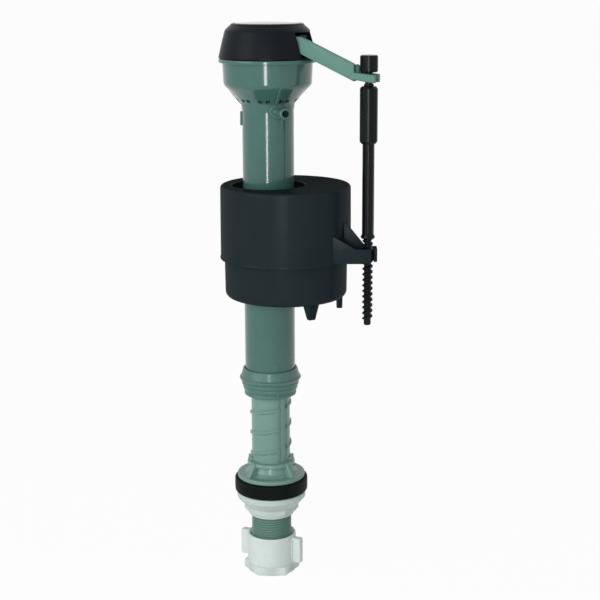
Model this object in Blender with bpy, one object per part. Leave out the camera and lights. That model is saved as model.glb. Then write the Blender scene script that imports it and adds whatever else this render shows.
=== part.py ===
"""Toilet fill valve with a float cup that rides on the riser.

Frame: z = 0 is the underside of the rubber shank washer, the face that presses on the
tank floor, on the axis of the threaded shank. +Z runs up the riser and +X points to the
side that the float is offset to. All sizes below are in millimetres.
"""
import math

import bmesh
import bpy
from mathutils import Matrix, Vector

MM = 0.001
GAP = 0.3
ROUND = 28
SMALL_ROUND = 20
HIDDEN_ROUND = 16
EDGE = 0.5
SOFT_EDGE = 0.3
OVER = 1.0
SINK = 0.5
PROUD = 0.05

# Shank washer and inlet shank
WASHER_R = 20.3
WASHER_T = 8.0
WASHER_EDGE = 1.3
TAIL_R = 11.1
TAIL_BELOW_FLOOR = 36.0
TAIL_BORE_R = 6.5
TAIL_EDGE = 0.8
THREAD_CLEARANCE = 0.3
SHANK_FLANGE_R = 18.7
SHANK_FLANGE_T = 2.3
HUB_H = 6.7
HUB_TOP_R = 11.6
HUB_FOOT_R = 14.2
GUSSET_COUNT = 4
GUSSET_AZIMUTH = 45.0
GUSSET_T = 2.0
GUSSET_REACH = 17.3
GUSSET_TOE_H = 0.8
STOP_RING_R = 13.1
STOP_RING_H = 2.4
STOP_LUG_R = 12.6
STOP_LUG_W = 7.2
STOP_LUG_H = 4.0
STOP_RING_LIFT = 5.1
SHANK_TUBE_R = 10.6
SHANK_TUBE_WALL = 2.0
SHANK_TUBE_H = 122.1
SHANK_TUBE_EDGE = 0.7
BORE_STEP_LIFT = 3.0
BORE_STEP_H = 2.0
RIB_PITCH = 11.7
RIB_RISE = 0.9
RIB_FOOT_W = 2.4
RIB_CREST_W = 1.4
RIB_START = 3.9
RIB_ZONE_H = 100.0
RIB_STEPS = 20
RIB_AZIMUTH = 180.0
GROOVE_AZIMUTH = -50.0
GROOVE_W = 6.0
GROOVE_DEPTH = 0.7
RAIL_W = 2.2
RAIL_DROP = 0.1

# Lock nut, cone washer and coupling nut
LOCK_NUT_R = 19.1
LOCK_NUT_RIM_H = 3.4
LOCK_NUT_CONE_H = 4.4
LOCK_NUT_HEX_R = 15.4
LOCK_NUT_H = 13.6
LOCK_NUT_NOSE_R = 12.6
LOCK_NUT_NOSE_H = 1.6
CONE_WASHER_R = 10.9
CONE_WASHER_T = 4.9
CONE_WASHER_BORE_R = 6.2
CONE_NOSE_H = 2.1
CONE_NOSE_R = 9.0
CONE_NOSE_TIP_R = 7.1
COUPLING_R = 13.55
COUPLING_H = 21.5
COUPLING_FLOOR_T = 5.6
COUPLING_HOLE_R = 7.0
COUPLING_HEX_R = 15.9
COUPLING_HEX_H = 4.9
COUPLING_BEVEL = 1.2
WING_REACH = 18.2
WING_T = 4.2
WING_H = 14.6
WING_DROP = 1.2
WING_ROOT = 3.0
WING_AZIMUTH = -21.0

# Riser, neck and bowl of the valve body
RISER_R = 13.7
RISER_WALL = 1.6
HEIGHT_SETTING = 37.9
RISER_LENGTH = 153.4
NECK_H = 10.4
NECK_TOP_R = 22.6
NECK_CURVE = 1.2
NECK_LIFTS = (0.25, 0.5, 0.75, 1.0)
NECK_WALL_RISE = 0.9
BOWL_R = 23.8
BOWL_H = 12.2
BOWL_WALL = 1.8
BOWL_SHOULDER_H = 2.1
BODY_FLANGE_R = 25.8
BODY_FLANGE_T = 2.0
LEDGE_DROP = 8.6
LEDGE_W = 2.5
LEDGE_FOOT_LIFT = 1.5
WEB_COUNT = 3
WEB_AZIMUTH = -72.0
WEB_T = 1.2
WEB_RISE = 1.2
WEB_CREST_DROP = 1.5
VENT_COUNT = 9
VENT_AZIMUTH = -92.0
VENT_W = 4.2
VENT_H = 2.9
VENT_LIFT = 2.0
NIPPLE_AZIMUTH = -71.0
NIPPLE_DROP = 2.0
NIPPLE_R = 3.0
NIPPLE_BORE_R = 1.85
NIPPLE_REACH = 27.4
NIPPLE_BOSS_R = 4.2
NIPPLE_BOSS_RISE = 1.4
NIPPLE_RIB_TURN = 12.0
NIPPLE_RIB_H = 6.2
NIPPLE_RIB_LAP = 1.2
STOP_PAD_RISE = 0.6
STOP_PAD_H = 7.4
STOP_PAD_W = 8.0
STOP_PAD_DROP = 3.0
BEAD_RISE = 0.65
BEAD_H = 1.5
BEAD_LIFT = 1.4
KEY_W = 1.2
KEY_H = 5.0
MARK_RISE = 0.4
MARK_W = 1.2
MARK_H = 4.5
MARK_LIFT = 0.8
MARK_AZIMUTH = -52.0

# Lock ring at the foot of the riser
THREAD_ZONE_H = 4.6
LOCK_RING_H = 15.3
LOCK_RING_R = 16.9
LOCK_RING_BAND_H = 3.4
LOCK_RING_GRIP_H = 8.4
LOCK_RING_WAIST_R = 15.2
LOCK_RING_WAIST_LIFT = 3.8
LOCK_RING_FOOT_H = 2.0
LOCK_RING_FOOT_R = 13.7
LOCK_RING_FOOT_EDGE = 0.9
LOCK_RING_RIM_R = 14.9
LOCK_RING_RIM_H = 1.0
LOCK_RING_GRIP_RUN = 1.5
LOCK_RING_MARK_H = 3.6
LOCK_RING_MARK_RISE = 1.3
RING_RUN = 0.35
GROOVE_START = 1.5

# Supply tube, seat, diaphragm and pilot plate inside the body
SUPPLY_R = 6.2
SUPPLY_WALL = 1.5
SUPPLY_FOOT_LIFT = 8.0
SEAL_H = 4.4
SEAL_LIP_T = 0.4
SEAL_WEB_H = 2.0
COLLAR_H = 2.0
SEAT_PLATE_T = 2.0
SEAT_LIP_R = 5.4
SEAT_LIP_H = 2.0
SEAT_SOCKET_H = 6.0
SEAT_SOCKET_WALL = 1.6
SEAT_HOLE_R = 2.0
SEAT_HOLE_COUNT = 8
SEAT_HOLE_STEPS = 8
SEAT_HOLE_PITCH_R = 12.5
SEAT_HOLE_AZIMUTH = 13.5
SEAT_RIM_W = 2.2
SEAT_RIM_H = 1.5
DIAPHRAGM_RIM_W = 2.4
DIAPHRAGM_RIM_T = 2.2
DIAPHRAGM_WEB_T = 1.0
DIAPHRAGM_WEB_LIFT = 0.6
DIAPHRAGM_ROLL_LIFT = 1.8
DIAPHRAGM_ROLL_OUT = 1.0
DIAPHRAGM_PAD_R = 7.2
DIAPHRAGM_PAD_T = 2.0
DIAPHRAGM_LIFT = 1.6
INSERT_R = 6.2
INSERT_T = 1.0
INSERT_STEM_R = 1.2
INSERT_BLEED_R = 0.4
PLATE_RIM_T = 1.4
PLATE_RIM_W = 2.8
PLATE_DOME_H = 4.0
PLATE_WALL = 1.5
PLATE_EDGE = 1.0
NOZZLE_R = 2.2
NOZZLE_FOOT_R = 3.0
NOZZLE_H = 1.3
NOZZLE_BORE_R = 0.6

# Cap
CAP_R = 25.6
CAP_SLOPE_R = 23.85
CAP_SLOPE_H = 8.3
CAP_SHOULDER_R = 22.1
CAP_SHOULDER_H = 14.6
CAP_RIM_R = 18.9
CAP_RIM_H = 17.1
CAP_DISC_R = 16.8
CAP_DISC_EDGE = 0.4
CAP_DISC_DROP = 0.8
CAP_H = 18.4
CAP_WALL = 1.6
CAP_SKIRT_H = 2.6
CAP_SKIRT_WALL = 1.5
CAP_BASE_T = 1.2
SLOT_HALF_W = 11.1
SLOT_TOP = 13.5
EAR_T = 2.1
EAR_HALF_W = 2.6
EAR_BELOW = 0.4
EAR_TOP_DROP = 0.6
EAR_SKIN = 0.15

# Lever
LEVER_SWING = 10.0
PIVOT_REACH = 15.5
PIVOT_LIFT = 7.4
TRUNNION_R = 1.7
TRUNNION_L = 2.2
TRUNNION_STEPS = 20
LEVER_ROOT_HALF_W = 10.1
LEVER_HALF_W = 10.6
LEVER_TIP_HALF_W = 4.9
LEVER_WALL = 1.8
LEVER_DEPTH = 9.0
LEVER_CANT = 0.16
LEVER_CREST = 0.8
LEVER_SLOPE = 27.0
LEVER_FLOOR_T = 2.0
LEVER_NECK = 22.0
LEVER_NECK_H = 4.0
LEVER_NECK_RUN = 5.0
LEVER_BACK = 1.0
LEVER_ROOT_BELOW = 3.0
LEVER_ROOT_FLOOR_T = 2.1
LEVER_RIB_T = 1.4
LEVER_RIB_SHARE = 0.6
FORK_T = 4.2
FORK_HALF_W = 5.05
FORK_EDGE = 0.85
FORK_TILT = 5.0
FORK_DROP = 16.5
FORK_PAST_ROD = 4.7
FORK_ROOM = 1.9
FORK_LAP = 3.0
FORK_FLOOR_RISE = 0.9
FORK_RUN = 0.35
FINGER_T = 2.0
FINGER_HALF_W = 2.8
FINGER_TIP = 0.4
PILOT_SEAL_R = 2.4
PILOT_SEAL_T = 1.7
PILOT_STEM_R = 1.0
PILOT_BARB_RISE = 0.7
PILOT_BARB_H = 1.0

# Adjusting rod
ROD_X = 52.2
ROD_Y = -19.6
ROD_HEAD_R = 4.6
ROD_HEAD_H = 8.6
ROD_NECK_R = 2.0
ROD_NECK_H = 7.2
ROD_BARREL_R = 4.65
ROD_BARREL_H = 29.4
ROD_BARREL_END_R = 3.35
ROD_BARREL_BEVEL = 2.6
ROD_SHAFT_R = 3.1
ROD_SHAFT_H = 47.5
ROD_FLARE_R = 3.8
ROD_FLARE_H = 2.2
ROD_FLARE_SHARE = 0.6
ROD_THREAD_R = 2.8
ROD_THREAD_ROOT_R = 1.9
ROD_THREAD_PITCH = 3.0
ROD_THREAD_H = 43.4
ROD_THREAD_FOOT_W = 2.0
ROD_THREAD_CREST_W = 0.7
ROD_THREAD_STEPS = 8
ROD_TIP_H = 3.4
ROD_TIP_EDGE = 0.4
ROD_FLUTE_DEPTH = 0.4
ROD_FLUTED_POINTS = (2, 3, 8, 9)

# Float
FLOAT_OFFSET = 9.0
FLOAT_BELOW_FORK = 88.6
FLOAT_TOP_R = 34.9
FLOAT_RIM_R = 35.4
FLOAT_WALL = 1.9
FLOAT_SHELL_H = 39.5
FLOAT_EDGE = 1.6
FLOAT_BASE_R = 33.1
FLOAT_BASE_H = 21.0
FLOAT_BASE_WALL = 1.6
FLOAT_BASE_EDGE = 3.0
FLOAT_LAP = 4.0
FLOAT_RUN = 0.6
SLEEVE_WALL = 1.5
POCKET_R = 19.5
POCKET_DEPTH = 14.0
NOTCH_LOW = (23.0, 17.0)
NOTCH_HIGH = (29.6, 19.0)
NOTCH_DEPTH = 0.7
ARM_GAP = 6.6
ARM_WALL = 1.9
ARM_H = 7.8
ARM_LIFT = 0.8
ARM_ROOT = 1.2
ARM_EDGE = 0.6
ARM_PAST_ROD = 2.0
ARM_FLOOR_T = 1.6
ARM_FLOOR_GAP = 1.5
GUSSET_RUN = 10.6
GUSSET_RISE_FRONT = 6.7
GUSSET_RISE_BACK = 13.0
GUSSET_CREST = 1.0
TAB_PAST_ROD = 5.0
TAB_T = 1.8
TAB_FRONT = 1.0
TAB_INSET = 0.2
CLIP_HALF_L = 3.9
CLIP_TOP_DROP = 0.9
PEG_AZIMUTHS = (-62.7, 3.0)
PEG_PITCH_R = 29.0
PEG_TOP_W = 8.6
PEG_TIP_W = 3.6
PEG_H = 7.0
PEG_T = 3.0

# Heights and radii that follow from the sizes above
FLANGE_Z = WASHER_T + GAP
HUB_Z = FLANGE_Z + SHANK_FLANGE_T
STOP_RING_Z = HUB_Z + STOP_RING_LIFT
TUBE_Z = STOP_RING_Z + STOP_RING_H
SHANK_TOP_Z = TUBE_Z + SHANK_TUBE_H
RIB_Z = TUBE_Z + RIB_START
RIB_TOP_Z = RIB_Z + RIB_ZONE_H
RIB_CREST_R = SHANK_TUBE_R + RIB_RISE
SHANK_BORE_R = SHANK_TUBE_R - SHANK_TUBE_WALL
NUT_BORE_R = TAIL_R + THREAD_CLEARANCE
RING_Z = TUBE_Z + HEIGHT_SETTING
RING_TOP_Z = RING_Z + LOCK_RING_H
RISER_Z = RING_Z + THREAD_ZONE_H + GAP
RISER_BORE_R = RISER_R - RISER_WALL
NECK_Z = RISER_Z + RISER_LENGTH
BOWL_Z = NECK_Z + NECK_H
BOWL_BORE_R = BOWL_R - BOWL_WALL
BODY_FLANGE_Z = BOWL_Z + BOWL_H
BODY_TOP_Z = BODY_FLANGE_Z + BODY_FLANGE_T
LEDGE_Z = BODY_FLANGE_Z - LEDGE_DROP
LEDGE_BORE_R = BOWL_BORE_R - LEDGE_W
FIT_R = BOWL_BORE_R - GAP
SEAT_Z = LEDGE_Z + GAP
SEAT_TOP_Z = SEAT_Z + SEAT_PLATE_T
SEAT_LIP_Z = SEAT_TOP_Z + SEAT_LIP_H
DIAPHRAGM_Z = SEAT_TOP_Z + SEAT_RIM_H + GAP
PAD_Z = SEAT_LIP_Z + DIAPHRAGM_LIFT
PLATE_Z = DIAPHRAGM_Z + DIAPHRAGM_RIM_T + GAP
DOME_Z = PLATE_Z + PLATE_RIM_T + PLATE_DOME_H
NOZZLE_Z = DOME_Z + NOZZLE_H
CAP_Z = BODY_TOP_Z + GAP
CAP_SKIRT_Z = CAP_Z - CAP_SKIRT_H
PIVOT_Z = CAP_Z + PIVOT_LIFT
FORK_Z = PIVOT_Z - FORK_DROP
ROD_REACH = math.hypot(ROD_X, ROD_Y)
LEVER_AZIMUTH = math.degrees(math.atan2(ROD_Y, ROD_X))
LEVER_BEND = ROD_REACH - ROD_HEAD_R - FORK_ROOM
LEVER_REAR = PIVOT_REACH - TRUNNION_R - LEVER_BACK
SLOPE = math.tan(math.radians(LEVER_SLOPE))
TILT = math.tan(math.radians(FORK_TILT))
FORK_START = LEVER_BEND - FORK_LAP
FORK_START_Z = FORK_Z - FORK_T / 2 - TILT * (FORK_START - ROD_REACH) + FORK_FLOOR_RISE
FINGER_Z = NOZZLE_Z + GAP + PILOT_SEAL_T + GAP
ROD_HEAD_Z = FORK_Z + FORK_T / 2 + ROD_HEAD_R * TILT + GAP
ROD_NECK_Z = ROD_HEAD_Z - ROD_NECK_H
ROD_BARREL_Z = ROD_NECK_Z - ROD_BARREL_H
ROD_SHAFT_Z = ROD_BARREL_Z - ROD_SHAFT_H
ROD_FLARE_Z = ROD_SHAFT_Z - ROD_FLARE_H
ROD_THREAD_Z = ROD_FLARE_Z - ROD_THREAD_H
ARM_TOP_Z = FORK_Z - FLOAT_BELOW_FORK
ARM_Z = ARM_TOP_Z - ARM_H
FLOAT_STEP_Z = ARM_Z - ARM_LIFT
FLOAT_TOP_Z = FLOAT_STEP_Z + FLOAT_SHELL_H
FLOAT_BOTTOM_Z = FLOAT_STEP_Z - FLOAT_BASE_H
SLEEVE_BORE_R = RISER_R + FLOAT_RUN
SLEEVE_R = SLEEVE_BORE_R + SLEEVE_WALL
POCKET_Z = FLOAT_TOP_Z - POCKET_DEPTH
COUPLING_FLOOR_Z = -TAIL_BELOW_FLOOR - GAP - CONE_WASHER_T - GAP
COUPLING_Z = COUPLING_FLOOR_Z - COUPLING_FLOOR_T
COUPLING_TOP_Z = COUPLING_Z + COUPLING_H

# Plain colours of the pieces
GREEN = (0.11, 0.20, 0.19)
PALE_GREEN = (0.22, 0.37, 0.34)
BLACK = (0.02, 0.025, 0.03)
SLATE = (0.025, 0.035, 0.042)
RUBBER = (0.012, 0.014, 0.014)
WHITE = (0.70, 0.76, 0.73)


def direction(azimuth):
    """Unit vector in the ground plane at an azimuth in degrees from +X."""
    angle = math.radians(azimuth)
    return Vector((math.cos(angle), math.sin(angle), 0.0))


def object_from(bm, name):
    """Turn a bmesh held in millimetres into a scene object in metres."""
    bmesh.ops.recalc_face_normals(bm, faces=bm.faces)
    bmesh.ops.scale(bm, vec=(MM, MM, MM), verts=bm.verts)
    mesh = bpy.data.meshes.new(name)
    bm.to_mesh(mesh)
    bm.free()
    obj = bpy.data.objects.new(name, mesh)
    bpy.context.collection.objects.link(obj)
    return obj


def lathe(profile, name="turned", steps=ROUND, centre=(0.0, 0.0), flute_depth=0.0, fluted=()):
    """Turn a closed (radius, height) outline about a vertical axis.

    The outline points whose index is in fluted get every second vertex set in.
    """
    bm = bmesh.new()
    rings = []
    for index, (radius, height) in enumerate(profile):
        if radius == 0.0:
            rings.append([bm.verts.new((centre[0], centre[1], height))])
            continue
        ring = []
        for step in range(steps):
            angle = 2 * math.pi * step / steps
            reach = radius
            if index in fluted and step % 2:
                reach -= flute_depth
            x = centre[0] + reach * math.cos(angle)
            y = centre[1] + reach * math.sin(angle)
            ring.append(bm.verts.new((x, y, height)))
        rings.append(ring)
    for first, second in zip(rings, rings[1:] + rings[:1]):
        bridge(bm, first, second, steps)
    return object_from(bm, name)


def bridge(bm, first, second, steps):
    """Join two rings of a turned outline, either of which may be a single point."""
    if len(first) == 1 and len(second) == 1:
        return
    for step in range(steps):
        after = (step + 1) % steps
        corners = []
        if len(first) == 1:
            corners = [first[0], second[after], second[step]]
        elif len(second) == 1:
            corners = [first[step], first[after], second[0]]
        else:
            corners = [first[step], first[after], second[after], second[step]]
        bm.faces.new(corners)


def loft(front, back, name="prism"):
    """Close the body between two outlines that have the same number of points."""
    bm = bmesh.new()
    near = [bm.verts.new(point) for point in front]
    far = [bm.verts.new(point) for point in back]
    bm.faces.new(near)
    bm.faces.new(list(reversed(far)))
    count = len(near)
    for index in range(count):
        after = (index + 1) % count
        bm.faces.new([near[index], far[index], far[after], near[after]])
    return object_from(bm, name)


def box(low, high, azimuth=0.0, name="box"):
    """A block between two corners, turned about the Z axis by an azimuth."""
    outline = [(low[0], low[1]), (high[0], low[1]), (high[0], high[1]), (low[0], high[1])]
    turn = Matrix.Rotation(math.radians(azimuth), 4, "Z")
    bottom = [turn @ Vector((x, y, low[2])) for x, y in outline]
    top = [turn @ Vector((x, y, high[2])) for x, y in outline]
    return loft(bottom, top, name)


def rod_between(start, end, radius, steps=SMALL_ROUND, name="round"):
    """A plain round bar from one point to another."""
    start = Vector(start)
    end = Vector(end)
    turn = (end - start).to_track_quat("Z", "Y").to_matrix()
    circle = [2 * math.pi * step / steps for step in range(steps)]
    arms = [turn @ Vector((radius * math.cos(angle), radius * math.sin(angle), 0.0)) for angle in circle]
    return loft([start + arm for arm in arms], [end + arm for arm in arms], name)


def helix_groove(foot_r, crest_r, foot_w, crest_w, pitch, low, high, steps=ROUND, name="helix"):
    """A closed right-hand helical bar of constant section, which cuts the groove of a nut."""
    bm = bmesh.new()
    total = int(round((high - low) / pitch * steps))
    outline = [(foot_r, -foot_w / 2), (crest_r, -crest_w / 2), (crest_r, crest_w / 2),
               (foot_r, foot_w / 2)]
    sections = []
    for step in range(total + 1):
        out = direction(360.0 * step / steps)
        middle = low + pitch * step / steps
        ring = [bm.verts.new(out * radius + Vector((0.0, 0.0, middle + rise))) for radius,
                rise in outline]
        sections.append(ring)
    for first, second in zip(sections, sections[1:]):
        for side in range(4):
            after = (side + 1) % 4
            bm.faces.new([first[side], second[side], second[after], first[after]])
    bm.faces.new(sections[0])
    bm.faces.new(list(reversed(sections[-1])))
    return object_from(bm, name)


def screw_sections(bm, root_r, crest_r, foot_w, crest_w, pitch, low, high, steps):
    """Four points of the ridge at each step up the helix; the ridge fades at both ends."""
    total = round((high - low) / pitch * steps)
    fade = steps // 4
    sections = []
    for step in range(total + 1):
        crest = root_r + (crest_r - root_r) * min(1.0, step / fade, (total - step) / fade)
        middle = low + pitch * step / steps
        out = direction(360.0 * step / steps)
        outline = [(root_r, -foot_w / 2), (crest, -crest_w / 2), (crest, crest_w / 2),
                   (root_r, foot_w / 2)]
        sections.append([bm.verts.new(out * radius + Vector((0.0, 0.0, middle + rise))) for radius,
                         rise in outline])
    return sections


def screw(root_r, crest_r, foot_w, crest_w, pitch, low, high, ends, edge, steps, name="screw"):
    """A right-hand ridge from low to high round a plain bar that has bevelled flat ends."""
    bm = bmesh.new()
    sections = screw_sections(bm, root_r, crest_r, foot_w, crest_w, pitch, low, high, steps)
    total = len(sections) - 1
    for step in range(total):
        first = list(sections[step])
        second = list(sections[step + 1])
        if step + 1 + steps <= total:
            first.append(sections[step + steps][0])
            second.append(sections[step + 1 + steps][0])
        for side in range(len(first) - 1):
            bm.faces.new([first[side], second[side], second[side + 1], first[side + 1]])
    rings = []
    for radius, height in ((root_r - edge, ends[0]), (root_r, ends[0] + edge),
                           (root_r, ends[1] - edge), (root_r - edge, ends[1])):
        up = Vector((0.0, 0.0, height))
        rings.append([bm.verts.new(direction(360.0 * step / steps) * radius + up) for step in range(steps)])
    bm.faces.new(rings[0])
    bridge(bm, rings[0], rings[1], steps)
    for step in range(steps):
        corners = [rings[1][step], rings[1][(step + 1) % steps], sections[step + 1][0], sections[step][0]]
        if step == steps - 1:
            corners[2:2] = sections[0]
        bm.faces.new(corners)
    for step in range(total - steps, total):
        corners = [sections[step][3], sections[step + 1][3], rings[2][(step + 1) % steps],
                   rings[2][step % steps]]
        if step == total - steps:
            corners += reversed(sections[total])
        bm.faces.new(corners)
    bridge(bm, rings[2], rings[3], steps)
    bm.faces.new(rings[3])
    return object_from(bm, name)


def combine(target, tool, operation):
    """Apply an exact boolean to the target and delete the tool."""
    modifier = target.modifiers.new(operation.lower(), "BOOLEAN")
    modifier.operation = operation
    modifier.solver = "EXACT"
    modifier.object = tool
    graph = bpy.context.evaluated_depsgraph_get()
    mesh = bpy.data.meshes.new_from_object(target.evaluated_get(graph))
    target.modifiers.clear()
    target.data = mesh
    bpy.data.objects.remove(tool)
    return target


def add(target, *tools):
    for tool in tools:
        combine(target, tool, "UNION")
    return target


def cut(target, *tools):
    for tool in tools:
        combine(target, tool, "DIFFERENCE")
    return target


def shift(obj, offset):
    """Move a mesh that is still in world space by an offset in millimetres."""
    obj.data.transform(Matrix.Translation(Vector(offset) * MM))
    return obj


def turn_about(obj, centre, axis, degrees):
    """Turn a mesh that is still in world space about a line through a point."""
    to_centre = Matrix.Translation(Vector(centre) * MM)
    turn = Matrix.Rotation(math.radians(degrees), 4, Vector(axis))
    obj.data.transform(to_centre @ turn @ to_centre.inverted())
    return obj


def material(name, colour, roughness, metallic=0.0):
    """A Principled material with one plain colour."""
    surface = bpy.data.materials.new(name)
    surface.use_nodes = True
    shader = surface.node_tree.nodes["Principled BSDF"]
    shader.inputs["Base Color"].default_value = (*colour, 1.0)
    shader.inputs["Roughness"].default_value = roughness
    shader.inputs["Metallic"].default_value = metallic
    return surface


def finish(obj, name, colour, roughness, origin=(0.0, 0.0, 0.0)):
    """Name the piece, set its origin on its own axis, shade it and give it a material."""
    place = Vector(origin) * MM
    obj.data.transform(Matrix.Translation(-place))
    obj.location = place
    obj.name = name
    obj.data.name = name
    obj.data.materials.clear()
    obj.data.materials.append(material(name, colour, roughness))
    obj.data.shade_smooth()
    obj.data.set_sharp_from_angle(angle=math.radians(35.0))
    return obj


def fin(outline, azimuth, thickness):
    """A flat rib in the plane that holds the Z axis, at an azimuth."""
    out = direction(azimuth)
    side = direction(azimuth + 90.0) * (thickness / 2)
    up = Vector((0.0, 0.0, 1.0))
    near = [out * reach + up * height - side for reach, height in outline]
    far = [out * reach + up * height + side for reach, height in outline]
    return loft(near, far)


def hexagon(radius, low, high):
    """A six-sided prism with a corner on +X."""
    corners = [direction(60.0 * index) * radius for index in range(6)]
    up = Vector((0.0, 0.0, 1.0))
    return loft([corner + up * low for corner in corners], [corner + up * high for corner in corners])


def lever_point(reach, side, height):
    """World place of a point given along the lever, across it and up."""
    along = direction(LEVER_AZIMUTH)
    across = direction(LEVER_AZIMUTH + 90.0)
    return along * reach + across * side + Vector((0.0, 0.0, height))


def lever_block(outline, half_width, name="block"):
    """Extrude a (reach, height) outline across the lever; the half width follows the reach."""
    near = [lever_point(reach, -half_width(reach), height) for reach, height in outline]
    far = [lever_point(reach, half_width(reach), height) for reach, height in outline]
    return loft(near, far, name)


def make_shank_washer():
    """Rubber washer that seals the shank flange to the tank floor."""
    profile = [(NUT_BORE_R, 0.0), (WASHER_R - WASHER_EDGE, 0.0), (WASHER_R, WASHER_EDGE),
               (WASHER_R, WASHER_T - EDGE), (WASHER_R - EDGE, WASHER_T), (NUT_BORE_R, WASHER_T)]
    return finish(lathe(profile), "shank_washer", RUBBER, 0.55)


def shank_outline():
    """Outside of the shank from the tail's end up to the foot of the ribbed tube."""
    tail = -TAIL_BELOW_FLOOR
    return [(0.0, tail), (TAIL_R - TAIL_EDGE, tail), (TAIL_R, tail + TAIL_EDGE), (TAIL_R, FLANGE_Z),
            (SHANK_FLANGE_R - SOFT_EDGE, FLANGE_Z), (SHANK_FLANGE_R, FLANGE_Z + SOFT_EDGE),
            (SHANK_FLANGE_R, HUB_Z - EDGE), (SHANK_FLANGE_R - EDGE, HUB_Z), (HUB_FOOT_R, HUB_Z),
            (HUB_TOP_R, STOP_RING_Z), (STOP_RING_R, STOP_RING_Z), (STOP_RING_R, TUBE_Z - EDGE),
            (STOP_RING_R - EDGE, TUBE_Z), (0.0, TUBE_Z)]


def shank_bore():
    """Water way through the shank, with the seat for the cone washer at its lower end."""
    tail = -TAIL_BELOW_FLOOR
    mouth = CONE_NOSE_R + GAP
    step_z = HUB_Z + BORE_STEP_LIFT
    return lathe([(0.0, tail - OVER), (mouth, tail - OVER), (mouth, tail),
                  (TAIL_BORE_R, tail + CONE_NOSE_H + EDGE), (TAIL_BORE_R, step_z),
                  (SHANK_BORE_R, step_z + BORE_STEP_H), (SHANK_BORE_R, SHANK_TOP_Z + OVER),
                  (0.0, SHANK_TOP_Z + OVER)], steps=SMALL_ROUND)


def make_inlet_shank():
    """Threaded tail, flange with gusseted hub, stop ring and ribbed tube in one moulding."""
    shank = lathe(shank_outline())
    tube = screw(SHANK_TUBE_R, RIB_CREST_R, RIB_FOOT_W, RIB_CREST_W, RIB_PITCH, RIB_Z, RIB_TOP_Z,
                 (TUBE_Z - OVER - SINK, SHANK_TOP_Z), SHANK_TUBE_EDGE, RIB_STEPS)
    add(shank, turn_about(tube, (0, 0, 0), (0, 0, 1), RIB_AZIMUTH))
    for half in range(2):
        add(shank, box((SHANK_TUBE_R - OVER, -STOP_LUG_W / 2, STOP_RING_Z + SINK),
                       (STOP_LUG_R, STOP_LUG_W / 2, STOP_RING_Z + STOP_LUG_H), 180.0 * half))
    root = HUB_TOP_R - OVER
    hub_top = HUB_Z + HUB_H
    gusset = [(root, HUB_Z - SINK), (GUSSET_REACH, HUB_Z - SINK), (GUSSET_REACH, HUB_Z + GUSSET_TOE_H),
              (HUB_TOP_R + SINK, hub_top), (root, hub_top)]
    for index in range(GUSSET_COUNT):
        add(shank, fin(gusset, GUSSET_AZIMUTH + 360.0 / GUSSET_COUNT * index, GUSSET_T))
    groove_r = SHANK_TUBE_R - GROOVE_DEPTH
    for half in range(2):
        azimuth = GROOVE_AZIMUTH + 180.0 * half
        cut(shank, box((groove_r, -GROOVE_W / 2, TUBE_Z + SOFT_EDGE),
                       (STOP_RING_R + OVER, GROOVE_W / 2, SHANK_TOP_Z + OVER), azimuth))
        add(shank, box((groove_r - SINK, -RAIL_W / 2, TUBE_Z - SOFT_EDGE),
                       (SHANK_TUBE_R - RAIL_DROP, RAIL_W / 2, SHANK_TOP_Z - TAIL_EDGE), azimuth))
    cut(shank, shank_bore())
    return finish(shank, "inlet_shank", PALE_GREEN, 0.35)


def make_lock_nut():
    """Nylon nut that clamps the shank to the tank floor from below."""
    top = -GAP
    low = top - LOCK_NUT_H
    hex_z = top - LOCK_NUT_RIM_H - LOCK_NUT_CONE_H
    nose_z = low + LOCK_NUT_NOSE_H
    nut = lathe([(0.0, top), (LOCK_NUT_R - SOFT_EDGE, top), (LOCK_NUT_R, top - SOFT_EDGE),
                 (LOCK_NUT_R, top - LOCK_NUT_RIM_H), (LOCK_NUT_HEX_R - SINK, hex_z),
                 (LOCK_NUT_NOSE_R, hex_z), (LOCK_NUT_NOSE_R, nose_z), (LOCK_NUT_NOSE_R - EDGE, low),
                 (0.0, low)])
    add(nut, hexagon(LOCK_NUT_HEX_R, nose_z, hex_z + SINK))
    cut(nut, lathe([(0.0, low - OVER), (NUT_BORE_R, low - OVER), (NUT_BORE_R, top + OVER),
                    (0.0, top + OVER)]))
    return finish(nut, "lock_nut", WHITE, 0.45)


def make_cone_washer():
    """Rubber washer with a conical nose that seals the supply pipe to the shank's end."""
    top = -TAIL_BELOW_FLOOR - GAP
    low = top - CONE_WASHER_T
    profile = [(CONE_WASHER_BORE_R, low), (CONE_WASHER_R, low), (CONE_WASHER_R, top), (CONE_NOSE_R, top),
               (CONE_NOSE_TIP_R, top + CONE_NOSE_H), (CONE_WASHER_BORE_R, top + CONE_NOSE_H)]
    return finish(lathe(profile, steps=SMALL_ROUND), "cone_washer", RUBBER, 0.6)


def make_coupling_nut():
    """Supply coupling nut: round barrel, two wings and a hexagonal foot."""
    low = COUPLING_Z
    top = COUPLING_TOP_Z
    nut = lathe([(0.0, low), (COUPLING_R, low), (COUPLING_R, top - EDGE), (COUPLING_R - EDGE, top),
                 (0.0, top)])
    add(nut, hexagon(COUPLING_HEX_R, low, low + COUPLING_HEX_H))
    wing_top = top - WING_DROP
    for half in range(2):
        add(nut, box((COUPLING_R - WING_ROOT, -WING_T / 2, wing_top - WING_H),
                     (WING_REACH, WING_T / 2, wing_top), WING_AZIMUTH + 180.0 * half))
    mouth = NUT_BORE_R + COUPLING_BEVEL
    cut(nut, lathe([(0.0, low - OVER), (COUPLING_HOLE_R, low - OVER), (COUPLING_HOLE_R, COUPLING_FLOOR_Z),
                    (NUT_BORE_R, COUPLING_FLOOR_Z), (NUT_BORE_R, top - COUPLING_BEVEL), (mouth, top),
                    (mouth, top + OVER), (0.0, top + OVER)]))
    return finish(nut, "coupling_nut", WHITE, 0.45)


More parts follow.
